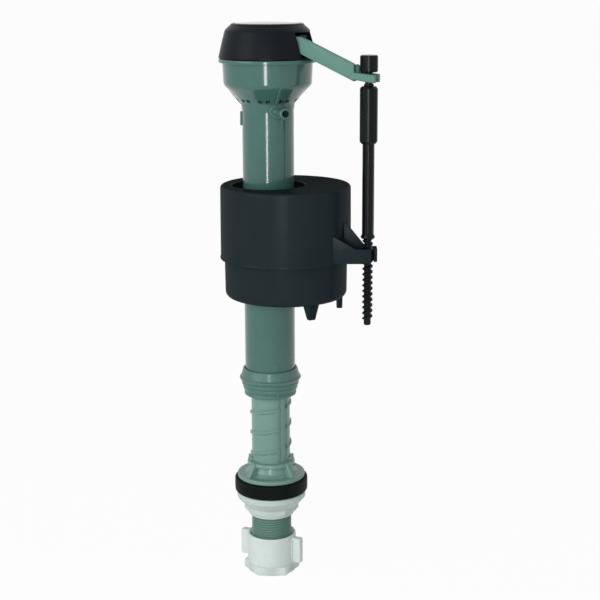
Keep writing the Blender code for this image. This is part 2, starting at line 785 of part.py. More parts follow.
def make_lock_ring():
    """Grip ring that turns on the shank's helical ribs and holds the riser at its height."""
    bore = SHANK_TUBE_R + RING_RUN
    riser_bore = RISER_R + RING_RUN
    bead_bore = RISER_R + BEAD_RISE + RING_RUN
    grip = RING_TOP_Z - LOCK_RING_GRIP_H
    shelf = RING_Z + THREAD_ZONE_H
    bead_low = RISER_Z + BEAD_LIFT - RING_RUN
    bead_high = RISER_Z + BEAD_LIFT + BEAD_H + RING_RUN
    foot = LOCK_RING_FOOT_R
    ring = lathe([(bore, RING_Z), (foot - LOCK_RING_FOOT_EDGE, RING_Z),
                  (foot, RING_Z + LOCK_RING_FOOT_EDGE), (foot, RING_Z + LOCK_RING_FOOT_H),
                  (LOCK_RING_WAIST_R, RING_Z + LOCK_RING_WAIST_LIFT),
                  (LOCK_RING_WAIST_R, grip - LOCK_RING_GRIP_RUN), (LOCK_RING_R, grip + EDGE),
                  (LOCK_RING_R, grip + LOCK_RING_BAND_H), (LOCK_RING_RIM_R, RING_TOP_Z - LOCK_RING_RIM_H),
                  (LOCK_RING_RIM_R, RING_TOP_Z), (riser_bore, RING_TOP_Z), (riser_bore, bead_high),
                  (bead_bore, bead_high), (bead_bore, bead_low), (riser_bore, bead_low),
                  (riser_bore, shelf), (bore, shelf)])
    mark_low = RING_Z + SOFT_EDGE
    mark = [(foot - SINK, mark_low), (foot + LOCK_RING_MARK_RISE, mark_low),
            (foot + LOCK_RING_MARK_RISE, mark_low + LOCK_RING_MARK_H),
            (foot - SINK, mark_low + LOCK_RING_MARK_H)]
    add(ring, fin(mark, MARK_AZIMUTH, MARK_W))
    thread_low = RIB_Z + math.floor((RING_Z - RIB_Z) / RIB_PITCH) * RIB_PITCH
    groove = helix_groove(bore - GROOVE_START, RIB_CREST_R + RING_RUN, RIB_FOOT_W + 3 * GAP,
                          RIB_CREST_W + 2 * GAP, RIB_PITCH, thread_low - RIB_PITCH,
                          thread_low + 2 * RIB_PITCH, RIB_STEPS)
    cut(ring, turn_about(groove, (0, 0, 0), (0, 0, 1), RIB_AZIMUTH))
    return finish(ring, "lock_ring", GREEN, 0.3)


def neck_radius(lift):
    """Outside radius of the flared neck at a share of its height."""
    return RISER_R + (NECK_TOP_R - RISER_R) * lift ** NECK_CURVE


def body_outline():
    """Outline of the valve body's wall, up the outside and back down the inside."""
    bead = RISER_R + BEAD_RISE
    bead_z = RISER_Z + BEAD_LIFT
    outer = [(RISER_R, RISER_Z), (RISER_R, bead_z), (bead, bead_z), (bead, bead_z + BEAD_H),
             (RISER_R, bead_z + BEAD_H), (RISER_R, NECK_Z)]
    outer += [(neck_radius(lift), NECK_Z + NECK_H * lift) for lift in NECK_LIFTS]
    outer += [(BOWL_R - EDGE, BOWL_Z + BOWL_SHOULDER_H), (BOWL_R, BODY_FLANGE_Z),
              (BODY_FLANGE_R, BODY_FLANGE_Z), (BODY_FLANGE_R, BODY_TOP_Z)]
    inner = [(BOWL_BORE_R, BODY_TOP_Z), (BOWL_BORE_R, LEDGE_Z), (LEDGE_BORE_R, LEDGE_Z),
             (LEDGE_BORE_R, BOWL_Z + LEDGE_FOOT_LIFT)]
    for lift in reversed(NECK_LIFTS[1:-1]):
        inner.append((neck_radius(lift) - RISER_WALL, NECK_Z + NECK_H * lift + NECK_WALL_RISE))
    inner += [(RISER_BORE_R, NECK_Z + NECK_WALL_RISE), (RISER_BORE_R, RISER_Z)]
    return outer + inner


def add_nipple(body):
    """Join the refill nipple with its boss and its short rib, and bore it through."""
    out = direction(NIPPLE_AZIMUTH)
    centre = Vector((0.0, 0.0, NECK_Z - NIPPLE_DROP))
    root = centre + out * (RISER_R - OVER)
    add(body, rod_between(root, centre + out * NIPPLE_REACH, NIPPLE_R))
    add(body, rod_between(root - out * PROUD, centre + out * (RISER_R + NIPPLE_BOSS_RISE), NIPPLE_BOSS_R))
    top = centre.z - NIPPLE_R + NIPPLE_RIB_LAP
    low = centre.z - NIPPLE_R - NIPPLE_RIB_H
    rib = [(RISER_R - OVER, low), (RISER_R + OVER, low), (RISER_R + OVER, top), (RISER_R - OVER, top)]
    add(body, fin(rib, NIPPLE_AZIMUTH + NIPPLE_RIB_TURN, WEB_T))
    inside = centre + out * (RISER_BORE_R - OVER)
    return cut(body, rod_between(inside, centre + out * (NIPPLE_REACH + OVER), NIPPLE_BORE_R,
                                 HIDDEN_ROUND))


def make_valve_body():
    """Riser tube, flared neck and bowl, with the refill nipple, vents and stop pads."""
    body = lathe(body_outline())
    root = RISER_R - OVER
    web = [(root, NECK_Z + SINK), (RISER_R + WEB_RISE, NECK_Z + SINK),
           (NECK_TOP_R + WEB_RISE, BOWL_Z + SINK), (NECK_TOP_R - SINK, BOWL_Z + BOWL_SHOULDER_H),
           (NECK_TOP_R - WEB_CREST_DROP, BOWL_Z + BOWL_SHOULDER_H)]
    pad_top = NECK_Z - STOP_PAD_DROP
    for index in range(WEB_COUNT):
        azimuth = WEB_AZIMUTH + 360.0 / WEB_COUNT * index
        add(body, fin(web, azimuth, WEB_T))
        if index:
            add(body, box((root, -STOP_PAD_W / 2, pad_top - STOP_PAD_H),
                          (RISER_R + STOP_PAD_RISE, STOP_PAD_W / 2, pad_top), azimuth))
    add_nipple(body)
    mark_z = RING_TOP_Z + MARK_LIFT
    mark = [(RISER_R - SINK, mark_z), (RISER_R + MARK_RISE, mark_z),
            (RISER_R + MARK_RISE, mark_z + MARK_H), (RISER_R - SINK, mark_z + MARK_H)]
    add(body, fin(mark, MARK_AZIMUTH, MARK_W))
    key_middle = (GROOVE_W + RAIL_W) / 4
    for half in range(2):
        add(body, box((SHANK_TUBE_R - GROOVE_DEPTH + GAP, key_middle - KEY_W / 2, RISER_Z),
                      (RISER_BORE_R + SINK, key_middle + KEY_W / 2, RISER_Z + KEY_H),
                      GROOVE_AZIMUTH + 180.0 * half))
    vent_z = NECK_Z + VENT_LIFT
    for index in range(VENT_COUNT):
        cut(body, box((RISER_BORE_R - OVER, -VENT_W / 2, vent_z),
                      (NECK_TOP_R + OVER, VENT_W / 2, vent_z + VENT_H),
                      VENT_AZIMUTH + 360.0 / VENT_COUNT * index))
    return finish(body, "valve_body", GREEN, 0.25)


def make_supply_tube():
    """Inner tube that brings water from the shank up to the seat, and slides in the shank."""
    top = SEAT_Z - GAP
    bore = SUPPLY_R - SUPPLY_WALL
    collar = SHANK_BORE_R - 2 * GAP
    lower = RISER_Z + SUPPLY_FOOT_LIFT
    upper = lower + SEAL_H + GAP
    profile = [(bore, lower - COLLAR_H), (collar, lower - COLLAR_H), (collar, lower - GAP),
               (SUPPLY_R, lower - GAP), (SUPPLY_R, upper), (collar, upper), (collar, upper + COLLAR_H),
               (SUPPLY_R, upper + COLLAR_H), (SUPPLY_R, top), (bore, top)]
    return finish(lathe(profile, steps=HIDDEN_ROUND), "supply_tube", PALE_GREEN, 0.4)


def make_tube_seal():
    """Rubber cup seal round the foot of the supply tube."""
    low = RISER_Z + SUPPLY_FOOT_LIFT
    inner = SUPPLY_R + GAP
    outer = SHANK_BORE_R - GAP
    rim = outer - EDGE
    profile = [(inner, low), (rim, low), (outer, low + EDGE), (rim, low + SEAL_H),
               (rim - SEAL_LIP_T, low + SEAL_H), (inner + SEAL_LIP_T, low + SEAL_WEB_H),
               (inner, low + SEAL_H)]
    return finish(lathe(profile, steps=HIDDEN_ROUND), "tube_seal", RUBBER, 0.5)


def make_valve_seat():
    """Plate with the raised seat lip, a ring of flow holes and the socket for the supply tube."""
    socket = SUPPLY_R + GAP
    bore = SUPPLY_R - SUPPLY_WALL
    low = SEAT_Z - SEAT_SOCKET_H
    wall = socket + SEAT_SOCKET_WALL
    rim_in = FIT_R - SEAT_RIM_W
    rim_z = SEAT_TOP_Z + SEAT_RIM_H
    seat = lathe([(socket, low), (wall, low), (wall, SEAT_Z), (FIT_R, SEAT_Z), (FIT_R, rim_z),
                  (rim_in, rim_z), (rim_in, SEAT_TOP_Z), (SEAT_LIP_R + EDGE, SEAT_TOP_Z),
                  (SEAT_LIP_R, SEAT_LIP_Z), (bore, SEAT_LIP_Z), (bore, SEAT_Z), (socket, SEAT_Z)],
                 steps=HIDDEN_ROUND)
    for index in range(SEAT_HOLE_COUNT):
        centre = direction(SEAT_HOLE_AZIMUTH + 360.0 / SEAT_HOLE_COUNT * index) * SEAT_HOLE_PITCH_R
        start = centre + Vector((0.0, 0.0, SEAT_Z - OVER))
        end = centre + Vector((0.0, 0.0, SEAT_TOP_Z + OVER))
        cut(seat, rod_between(start, end, SEAT_HOLE_R, SEAT_HOLE_STEPS))
    return finish(seat, "valve_seat", WHITE, 0.4)


def make_diaphragm():
    """Rubber diaphragm, shown open: its pad stands off the seat lip."""
    low = DIAPHRAGM_Z
    rim_in = FIT_R - DIAPHRAGM_RIM_W
    roll_r = (rim_in + DIAPHRAGM_PAD_R) / 2 + DIAPHRAGM_ROLL_OUT
    roll_z = low + DIAPHRAGM_ROLL_LIFT
    web_z = low + DIAPHRAGM_WEB_LIFT
    pad_top = PAD_Z + DIAPHRAGM_PAD_T
    hole = INSERT_STEM_R + GAP
    profile = [(hole, PAD_Z), (DIAPHRAGM_PAD_R, PAD_Z), (roll_r, roll_z), (rim_in, web_z), (rim_in, low),
               (FIT_R, low), (FIT_R, low + DIAPHRAGM_RIM_T), (rim_in, low + DIAPHRAGM_RIM_T),
               (rim_in - EDGE, web_z + DIAPHRAGM_WEB_T), (roll_r, roll_z + DIAPHRAGM_WEB_T),
               (DIAPHRAGM_PAD_R, pad_top), (hole, pad_top)]
    return finish(lathe(profile, steps=HIDDEN_ROUND), "diaphragm", RUBBER, 0.6)


def make_diaphragm_insert():
    """Stiff disc in the middle of the diaphragm, with the bleed hole through its stem."""
    low = PAD_Z + DIAPHRAGM_PAD_T + GAP
    stem_z = PAD_Z - SINK
    profile = [(INSERT_BLEED_R, stem_z), (INSERT_STEM_R, stem_z), (INSERT_STEM_R, low), (INSERT_R, low),
               (INSERT_R, low + INSERT_T), (INSERT_BLEED_R, low + INSERT_T)]
    return finish(lathe(profile, steps=HIDDEN_ROUND), "diaphragm_insert", WHITE, 0.4)


def make_pilot_plate():
    """Cover that clamps the diaphragm's rim, with the pilot nozzle on its dome."""
    rim_z = PLATE_Z + PLATE_RIM_T
    dome_r = FIT_R - PLATE_RIM_W
    dome_in = dome_r - PLATE_WALL
    roof = DOME_Z - PLATE_WALL
    profile = [(dome_in, PLATE_Z), (FIT_R, PLATE_Z), (FIT_R, rim_z), (dome_r, rim_z),
               (dome_r, DOME_Z - PLATE_EDGE), (dome_r - PLATE_EDGE, DOME_Z), (NOZZLE_FOOT_R, DOME_Z),
               (NOZZLE_R, NOZZLE_Z), (NOZZLE_BORE_R, NOZZLE_Z), (NOZZLE_BORE_R, roof),
               (dome_in - EDGE, roof), (dome_in, roof - EDGE)]
    return finish(lathe(profile, steps=HIDDEN_ROUND), "pilot_plate", BLACK, 0.4)


def cap_outline():
    """Outline of the cap's wall, from its base over the top and back inside to its skirt."""
    base = CAP_Z
    disc_z = base + CAP_H - CAP_DISC_DROP
    roof = disc_z - CAP_WALL
    skirt_in = FIT_R - CAP_SKIRT_WALL
    outer = [(FIT_R, base), (CAP_R, base), (CAP_SLOPE_R, base + CAP_SLOPE_H),
             (CAP_SHOULDER_R, base + CAP_SHOULDER_H),
             (CAP_SHOULDER_R - EDGE, base + CAP_SHOULDER_H + EDGE), (CAP_RIM_R, base + CAP_RIM_H),
             (CAP_DISC_R + OVER, disc_z - CAP_DISC_EDGE), (CAP_DISC_R, disc_z), (0.0, base + CAP_H)]
    inner = [(0.0, roof), (CAP_DISC_R - CAP_DISC_DROP, roof),
             (CAP_SHOULDER_R - CAP_WALL, base + SLOT_TOP - SOFT_EDGE),
             (CAP_SLOPE_R - CAP_WALL, base + CAP_SLOPE_H), (CAP_R - CAP_WALL, base + CAP_BASE_T),
             (skirt_in, base + CAP_BASE_T), (skirt_in, CAP_SKIRT_Z), (FIT_R, CAP_SKIRT_Z)]
    return outer + inner


def make_cap():
    """Conical cap with the side slot for the lever and two bearing ears inside."""
    cap = lathe(cap_outline())
    ear_in = LEVER_ROOT_HALF_W + GAP
    ear_out = ear_in + EAR_T
    for side in (-1, 1):
        near, far = sorted((side * ear_in, side * ear_out))
        add(cap, box((PIVOT_REACH - EAR_HALF_W, near, PIVOT_Z - EAR_HALF_W - EAR_BELOW),
                     (PIVOT_REACH + EAR_HALF_W, far, CAP_Z + CAP_SHOULDER_H - EAR_TOP_DROP),
                     LEVER_AZIMUTH))
        hole_start = lever_point(PIVOT_REACH, side * (ear_in - SINK), PIVOT_Z)
        hole_end = lever_point(PIVOT_REACH, side * (ear_out + EAR_SKIN), PIVOT_Z)
        cut(cap, rod_between(hole_start, hole_end, TRUNNION_R + GAP, TRUNNION_STEPS))
    cut(cap, box((PIVOT_REACH + EAR_HALF_W + GAP, -SLOT_HALF_W, CAP_Z + CAP_BASE_T),
                 (CAP_R + OVER, SLOT_HALF_W, CAP_Z + SLOT_TOP), LEVER_AZIMUTH))
    return finish(cap, "cap", BLACK, 0.28)


def taper(reach):
    """Half width of the sloping part of the lever at a distance from the riser's axis."""
    share = (reach - LEVER_NECK) / (LEVER_BEND - LEVER_NECK)
    return LEVER_HALF_W + (LEVER_TIP_HALF_W - LEVER_HALF_W) * share


def floor_z(reach):
    """Height of the lever's lower edge on its sloping part."""
    return FORK_START_Z + SLOPE * (FORK_START - reach)


def fork_z(reach):
    """Height of the fork's middle plane at rest."""
    return FORK_Z - TILT * (reach - ROD_REACH)


def open_pose(obj):
    """Turn a piece drawn in the closed pose back to the open pose, which is the rest pose."""
    pivot = lever_point(PIVOT_REACH, 0.0, PIVOT_Z)
    return turn_about(obj, pivot, direction(LEVER_AZIMUTH + 90.0), LEVER_SWING)


def lever_cant():
    """The space over the channel's top, which leans down from the front wall to the back one."""
    near, far = [], []
    high = PIVOT_Z + LEVER_DEPTH
    for reach in (LEVER_NECK + SINK, LEVER_BEND + OVER):
        top = floor_z(reach) + LEVER_DEPTH
        side = taper(reach) + OVER
        near.append(lever_point(reach, -side, top + LEVER_CANT * (OVER + LEVER_CREST)))
        far.append(lever_point(reach, side, top - LEVER_CANT * (2 * side - OVER - LEVER_CREST)))
    near += [Vector((point.x, point.y, high)) for point in reversed(near)]
    far += [Vector((point.x, point.y, high)) for point in reversed(far)]
    return loft(near, far)


def lever_channel():
    """Root block and sloping channel of the lever, hollowed from above, with a cross rib."""
    neck_top = PIVOT_Z + LEVER_NECK_H
    top_break = LEVER_NECK + LEVER_NECK_RUN
    lever = lever_block([(LEVER_NECK, floor_z(LEVER_NECK)), (LEVER_BEND, floor_z(LEVER_BEND)),
                         (LEVER_BEND, floor_z(LEVER_BEND) + LEVER_DEPTH),
                         (top_break, floor_z(top_break) + LEVER_DEPTH), (LEVER_NECK, neck_top)], taper)
    lap = LEVER_NECK + SINK
    root_low = PIVOT_Z - LEVER_ROOT_BELOW
    root_run = (PIVOT_Z - LEVER_ROOT_BELOW - floor_z(LEVER_NECK)) / SLOPE
    add(lever, lever_block([(LEVER_REAR, root_low), (LEVER_NECK - root_run - OVER, root_low),
                            (lap, floor_z(lap)), (lap, neck_top - PROUD), (PIVOT_REACH, neck_top),
                            (LEVER_REAR, PIVOT_Z + LEVER_ROOT_BELOW)], lambda reach: LEVER_ROOT_HALF_W))
    inner_neck = LEVER_NECK + LEVER_WALL
    outer_end = LEVER_BEND + OVER
    high = neck_top + LEVER_DEPTH
    cut(lever, lever_block([(inner_neck, floor_z(inner_neck) + LEVER_FLOOR_T),
                            (outer_end, floor_z(outer_end) + LEVER_FLOOR_T), (outer_end, high),
                            (inner_neck, high)], lambda reach: taper(reach) - LEVER_WALL))
    root_floor = root_low + LEVER_ROOT_FLOOR_T
    cut(lever, lever_block([(LEVER_REAR + LEVER_WALL, root_floor), (inner_neck + PROUD, root_floor),
                            (inner_neck + PROUD, high), (LEVER_REAR + LEVER_WALL, high)],
                           lambda reach: LEVER_ROOT_HALF_W - LEVER_WALL))
    cut(lever, lever_cant())
    rib = (LEVER_NECK + LEVER_BEND) / 2
    rib_end = rib + LEVER_RIB_T
    rib_top = floor_z(rib) + LEVER_DEPTH * LEVER_RIB_SHARE
    return add(lever, lever_block([(rib, floor_z(rib) + SINK), (rib_end, floor_z(rib_end) + SINK),
                                   (rib_end, rib_top), (rib, rib_top)],
                                  lambda reach: taper(reach) - LEVER_WALL / 2))


def add_fork(lever):
    """Join the flat slab at the lever's end and cut the slot that holds the rod's neck."""
    tip = ROD_REACH + FORK_PAST_ROD
    half = FORK_T / 2
    add(lever, lever_block([(FORK_START, floor_z(FORK_START)), (ROD_REACH, FORK_Z - half),
                            (tip - FORK_EDGE, fork_z(tip) - half), (tip, fork_z(tip) - half + FORK_EDGE),
                            (tip, fork_z(tip) + half - FORK_EDGE), (tip - FORK_EDGE, fork_z(tip) + half),
                            (FORK_START, fork_z(FORK_START) + half)], lambda reach: FORK_HALF_W))
    slot_half = ROD_NECK_R + FORK_RUN
    slot_end = ROD_REACH - slot_half - math.sin(math.radians(LEVER_SWING)) * FORK_DROP
    low = FORK_Z - FORK_T
    high = FORK_Z + FORK_T
    return cut(lever, lever_block([(slot_end, low), (tip + OVER, low), (tip + OVER, high),
                                   (slot_end, high)], lambda reach: slot_half))


def make_lever():
    """Float lever: trunnions and pilot finger at the root, open channel, fork at the rod."""
    lever = add_fork(lever_channel())
    for side in (-1, 1):
        stub_start = lever_point(PIVOT_REACH, side * (LEVER_ROOT_HALF_W - OVER), PIVOT_Z)
        stub_end = lever_point(PIVOT_REACH, side * (LEVER_ROOT_HALF_W + TRUNNION_L), PIVOT_Z)
        add(lever, rod_between(stub_start, stub_end, TRUNNION_R, TRUNNION_STEPS))
    tip = -PILOT_SEAL_R - FINGER_TIP
    top = FINGER_Z + FINGER_T
    finger = lever_block([(tip, FINGER_Z), (LEVER_REAR + OVER, FINGER_Z), (LEVER_REAR + OVER, top),
                          (tip, top)], lambda reach: FINGER_HALF_W)
    cut(finger, rod_between((0, 0, FINGER_Z - OVER), (0, 0, top + OVER), PILOT_STEM_R + GAP,
                            HIDDEN_ROUND))
    add(lever, open_pose(finger))
    return finish(lever, "lever_arm", PALE_GREEN, 0.3, lever_point(PIVOT_REACH, 0.0, PIVOT_Z))


def make_pilot_seal():
    """Rubber button on the lever's finger that closes the pilot nozzle."""
    low = NOZZLE_Z + GAP
    top = low + PILOT_SEAL_T
    head = FINGER_Z + FINGER_T + 2 * GAP
    stem = PILOT_STEM_R
    profile = [(0.0, low), (PILOT_SEAL_R - SOFT_EDGE, low), (PILOT_SEAL_R, low + SOFT_EDGE),
               (PILOT_SEAL_R, top), (stem, top), (stem, head - GAP), (stem + PILOT_BARB_RISE, head),
               (stem, head + PILOT_BARB_H), (0.0, head + PILOT_BARB_H)]
    seal = open_pose(lathe(profile, steps=HIDDEN_ROUND))
    return finish(seal, "pilot_seal", RUBBER, 0.6, lever_point(PIVOT_REACH, 0.0, PIVOT_Z))


def make_adjusting_rod():
    """Knurled head, waisted neck, grip barrel, plain shaft and coarse thread in one moulding."""
    top = ROD_HEAD_Z + ROD_HEAD_H
    bevel = ROD_BARREL_BEVEL
    profile = [(0.0, top), (ROD_HEAD_R - EDGE, top), (ROD_HEAD_R, top - EDGE),
               (ROD_HEAD_R, ROD_HEAD_Z + EDGE), (ROD_HEAD_R - EDGE, ROD_HEAD_Z), (ROD_NECK_R, ROD_HEAD_Z),
               (ROD_NECK_R, ROD_NECK_Z), (ROD_BARREL_END_R, ROD_NECK_Z),
               (ROD_BARREL_R, ROD_NECK_Z - bevel), (ROD_BARREL_R, ROD_BARREL_Z + bevel),
               (ROD_BARREL_END_R, ROD_BARREL_Z), (ROD_SHAFT_R, ROD_BARREL_Z), (ROD_SHAFT_R, ROD_SHAFT_Z),
               (ROD_FLARE_R, ROD_SHAFT_Z - ROD_FLARE_H * ROD_FLARE_SHARE),
               (ROD_FLARE_R - SOFT_EDGE, ROD_FLARE_Z), (0.0, ROD_FLARE_Z)]
    rod = lathe(profile, steps=SMALL_ROUND, flute_depth=ROD_FLUTE_DEPTH, fluted=ROD_FLUTED_POINTS)
    add(rod, screw(ROD_THREAD_ROOT_R, ROD_THREAD_R, ROD_THREAD_FOOT_W, ROD_THREAD_CREST_W,
                   ROD_THREAD_PITCH, ROD_THREAD_Z, ROD_FLARE_Z - ROD_THREAD_FOOT_W,
                   (ROD_THREAD_Z - ROD_TIP_H, ROD_FLARE_Z + OVER), ROD_TIP_EDGE, ROD_THREAD_STEPS))
    shift(rod, (ROD_X, ROD_Y, 0.0))
    return finish(rod, "adjusting_rod", BLACK, 0.25, (ROD_X, ROD_Y, 0.0))


def arm_root(y):
    """How far +X the arm starts at a given Y, just inside the float's round wall."""
    return FLOAT_OFFSET + math.sqrt(FLOAT_RIM_R ** 2 - y ** 2) - ARM_ROOT


def arm_wall(inner, outer, end, rise):
    """One wall of the float's arm, between two Y planes, with its gusset on the float."""
    faces = []
    for y in (inner, outer):
        start = arm_root(y)
        outline = [(start, ARM_Z), (end, ARM_Z), (end, ARM_TOP_Z - ARM_EDGE), (end - ARM_EDGE, ARM_TOP_Z),
                   (start + ARM_ROOT + GUSSET_RUN, ARM_TOP_Z), (start + GUSSET_CREST, ARM_TOP_Z + rise),
                   (start, ARM_TOP_Z + rise)]
        faces.append([Vector((x, y, z)) for x, z in outline])
    return loft(faces[0], faces[1])


def add_arm(shell):
    """Join the arm: two gusseted walls, a floor, the clip round the rod and the finger tab."""
    front = ROD_Y - ARM_GAP / 2
    back = ROD_Y + ARM_GAP / 2
    tab_x = ROD_X + TAB_PAST_ROD
    clip_top = ARM_TOP_Z - CLIP_TOP_DROP
    clip_x = ROD_X - CLIP_HALF_L
    add(shell, arm_wall(front, front - ARM_WALL, ROD_X + ARM_PAST_ROD, GUSSET_RISE_FRONT))
    add(shell, arm_wall(back, back + ARM_WALL, tab_x, GUSSET_RISE_BACK))
    low_y = front - SINK
    high_y = back + SINK
    floor = [(arm_root(low_y), low_y), (clip_x - ARM_FLOOR_GAP, low_y), (clip_x - ARM_FLOOR_GAP, high_y),
             (arm_root(high_y), high_y)]
    add(shell, loft([Vector((x, y, ARM_Z)) for x, y in floor],
                    [Vector((x, y, ARM_Z + ARM_FLOOR_T)) for x, y in floor]))
    add(shell, box((clip_x, low_y, ARM_Z + SINK), (ROD_X + ARM_PAST_ROD - SOFT_EDGE, high_y, clip_top)))
    add(shell, box((tab_x - TAB_T, ROD_Y - TAB_FRONT, ARM_Z + TAB_INSET),
                   (tab_x, back + ARM_WALL, ARM_TOP_Z - TAB_INSET)))
    return shell


def make_float_shell():
    """Upper float cup with the pocket and sleeve round the riser and the arm for the rod."""
    top = FLOAT_TOP_Z
    roof = top - FLOAT_WALL
    edge = FLOAT_EDGE
    shell = lathe([(FLOAT_RIM_R - FLOAT_WALL, FLOAT_STEP_Z), (FLOAT_RIM_R - SOFT_EDGE, FLOAT_STEP_Z),
                   (FLOAT_RIM_R, FLOAT_STEP_Z + SOFT_EDGE), (FLOAT_TOP_R, top - edge),
                   (FLOAT_TOP_R - edge / 3, top - edge / 3), (FLOAT_TOP_R - edge, top), (0.0, top),
                   (0.0, roof), (FLOAT_TOP_R - FLOAT_WALL, roof)], centre=(FLOAT_OFFSET, 0.0))
    sleeve_low = FLOAT_BOTTOM_Z + FLOAT_BASE_WALL / 2
    pocket_wall = POCKET_R + FLOAT_WALL
    pocket_floor = POCKET_Z - FLOAT_WALL
    middle = top - FLOAT_WALL / 2
    add(shell, lathe([(0.0, sleeve_low), (SLEEVE_R, sleeve_low), (SLEEVE_R, pocket_floor),
                      (pocket_wall, pocket_floor), (pocket_wall, middle), (0.0, middle)]))
    add_arm(shell)
    cut(shell, lathe([(0.0, sleeve_low - OVER), (SLEEVE_BORE_R, sleeve_low - OVER),
                      (SLEEVE_BORE_R, POCKET_Z), (POCKET_R, POCKET_Z), (POCKET_R, top + OVER),
                      (0.0, top + OVER)]))
    cut(shell, rod_between((ROD_X, ROD_Y, ARM_Z - OVER), (ROD_X, ROD_Y, ARM_TOP_Z + OVER),
                           ROD_THREAD_R + GAP, HIDDEN_ROUND))
    cut(shell, box((*NOTCH_LOW, top - NOTCH_DEPTH), (*NOTCH_HIGH, top + OVER)))
    return finish(shell, "float_shell", SLATE, 0.32)


def make_float_base():
    """Lower float cup that plugs into the shell, with two tapered pegs under it."""
    wall = FLOAT_BASE_WALL
    low = FLOAT_BOTTOM_Z
    edge = FLOAT_BASE_EDGE
    top = FLOAT_STEP_Z + FLOAT_LAP
    radius = FLOAT_BASE_R
    low_r = radius - SOFT_EDGE
    base = lathe([(0.0, low), (low_r - edge, low), (low_r - edge / 3, low + edge / 3),
                  (low_r, low + edge), (radius, top), (radius - wall, top), (low_r - wall, low + edge),
                  (low_r - edge, low + wall), (0.0, low + wall)], centre=(FLOAT_OFFSET, 0.0))
    peg = [(-PEG_TOP_W / 2, low + wall / 2), (PEG_TOP_W / 2, low + wall / 2),
           (PEG_TIP_W / 2, low - PEG_H), (-PEG_TIP_W / 2, low - PEG_H)]
    for azimuth in PEG_AZIMUTHS:
        out = direction(azimuth)
        along = direction(azimuth + 90.0)
        centre = Vector((FLOAT_OFFSET, 0.0, 0.0)) + out * PEG_PITCH_R
        near = [centre + along * run - out * (PEG_T / 2) + Vector((0.0, 0.0, z)) for run, z in peg]
        far = [centre + along * run + out * (PEG_T / 2) + Vector((0.0, 0.0, z)) for run, z in peg]
        add(base, loft(near, far))
    hole = SLEEVE_R + GAP
    cut(base, lathe([(0.0, low - OVER), (hole, low - OVER), (hole, low + wall + OVER),
                     (0.0, low + wall + OVER)]))
    return finish(base, "float_base", SLATE, 0.32)


def clear_scene():
    for obj in list(bpy.data.objects):
        bpy.data.objects.remove(obj)


def main():
    clear_scene()
    make_shank_washer()
    make_inlet_shank()
    make_lock_nut()
    make_cone_washer()
    make_coupling_nut()
    make_lock_ring()
    make_valve_body()
    make_supply_tube()
    make_tube_seal()
    make_valve_seat()
    make_diaphragm()
    make_diaphragm_insert()
    make_pilot_plate()
    make_cap()
    make_lever()
    make_pilot_seal()
    make_adjusting_rod()
    make_float_shell()
    make_float_base()


main()
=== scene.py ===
"""Detailed pieces, finishes and a plain studio for the toilet fill valve."""

import math
from types import SimpleNamespace

import bmesh
import bpy
from bpy.props import FloatProperty, FloatVectorProperty, PointerProperty
from bpy.types import Operator, Panel, PropertyGroup
from mathutils import Matrix, Vector


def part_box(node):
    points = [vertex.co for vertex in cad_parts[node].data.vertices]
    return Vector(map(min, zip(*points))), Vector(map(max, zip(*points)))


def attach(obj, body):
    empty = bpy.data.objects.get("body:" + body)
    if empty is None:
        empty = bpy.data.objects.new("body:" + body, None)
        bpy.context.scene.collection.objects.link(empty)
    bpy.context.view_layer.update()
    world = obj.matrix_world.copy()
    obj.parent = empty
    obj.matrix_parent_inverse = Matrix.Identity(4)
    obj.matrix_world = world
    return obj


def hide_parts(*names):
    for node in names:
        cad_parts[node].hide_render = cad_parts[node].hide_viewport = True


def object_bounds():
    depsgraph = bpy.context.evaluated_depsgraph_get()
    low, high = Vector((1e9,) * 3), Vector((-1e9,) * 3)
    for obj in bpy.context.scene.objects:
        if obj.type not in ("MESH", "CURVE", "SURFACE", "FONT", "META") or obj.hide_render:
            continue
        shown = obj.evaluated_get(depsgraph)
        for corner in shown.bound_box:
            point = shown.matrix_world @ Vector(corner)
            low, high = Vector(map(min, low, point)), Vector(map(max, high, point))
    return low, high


bl_info = {
    "name": "Toilet Fill Valve",
    "version": (1, 0, 0),
    "blender": (4, 5, 0),
    "location": "3D View > Sidebar > Fill Valve",
    "description": "Models the visible pieces of a toilet fill valve around its solids",
    "category": "Object",
}

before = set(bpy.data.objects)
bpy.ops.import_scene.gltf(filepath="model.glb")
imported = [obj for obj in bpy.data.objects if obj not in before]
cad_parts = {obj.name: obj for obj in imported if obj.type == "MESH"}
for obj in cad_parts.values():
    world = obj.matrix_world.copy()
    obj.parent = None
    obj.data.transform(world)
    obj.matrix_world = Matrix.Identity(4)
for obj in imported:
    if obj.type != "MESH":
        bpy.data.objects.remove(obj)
CAD_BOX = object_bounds()

MM = 0.001
MERGE = 0.000001
TOUCH = 0.01
LARGE_STEPS = 96
SMALL_STEPS = 64
FLOAT_STEPS = 128
OVER = 1.0
SINK = 0.4
SUPPORT = 0.8
SMOOTH_ANGLE = 32.0
SHARP_ANGLE = 30.0

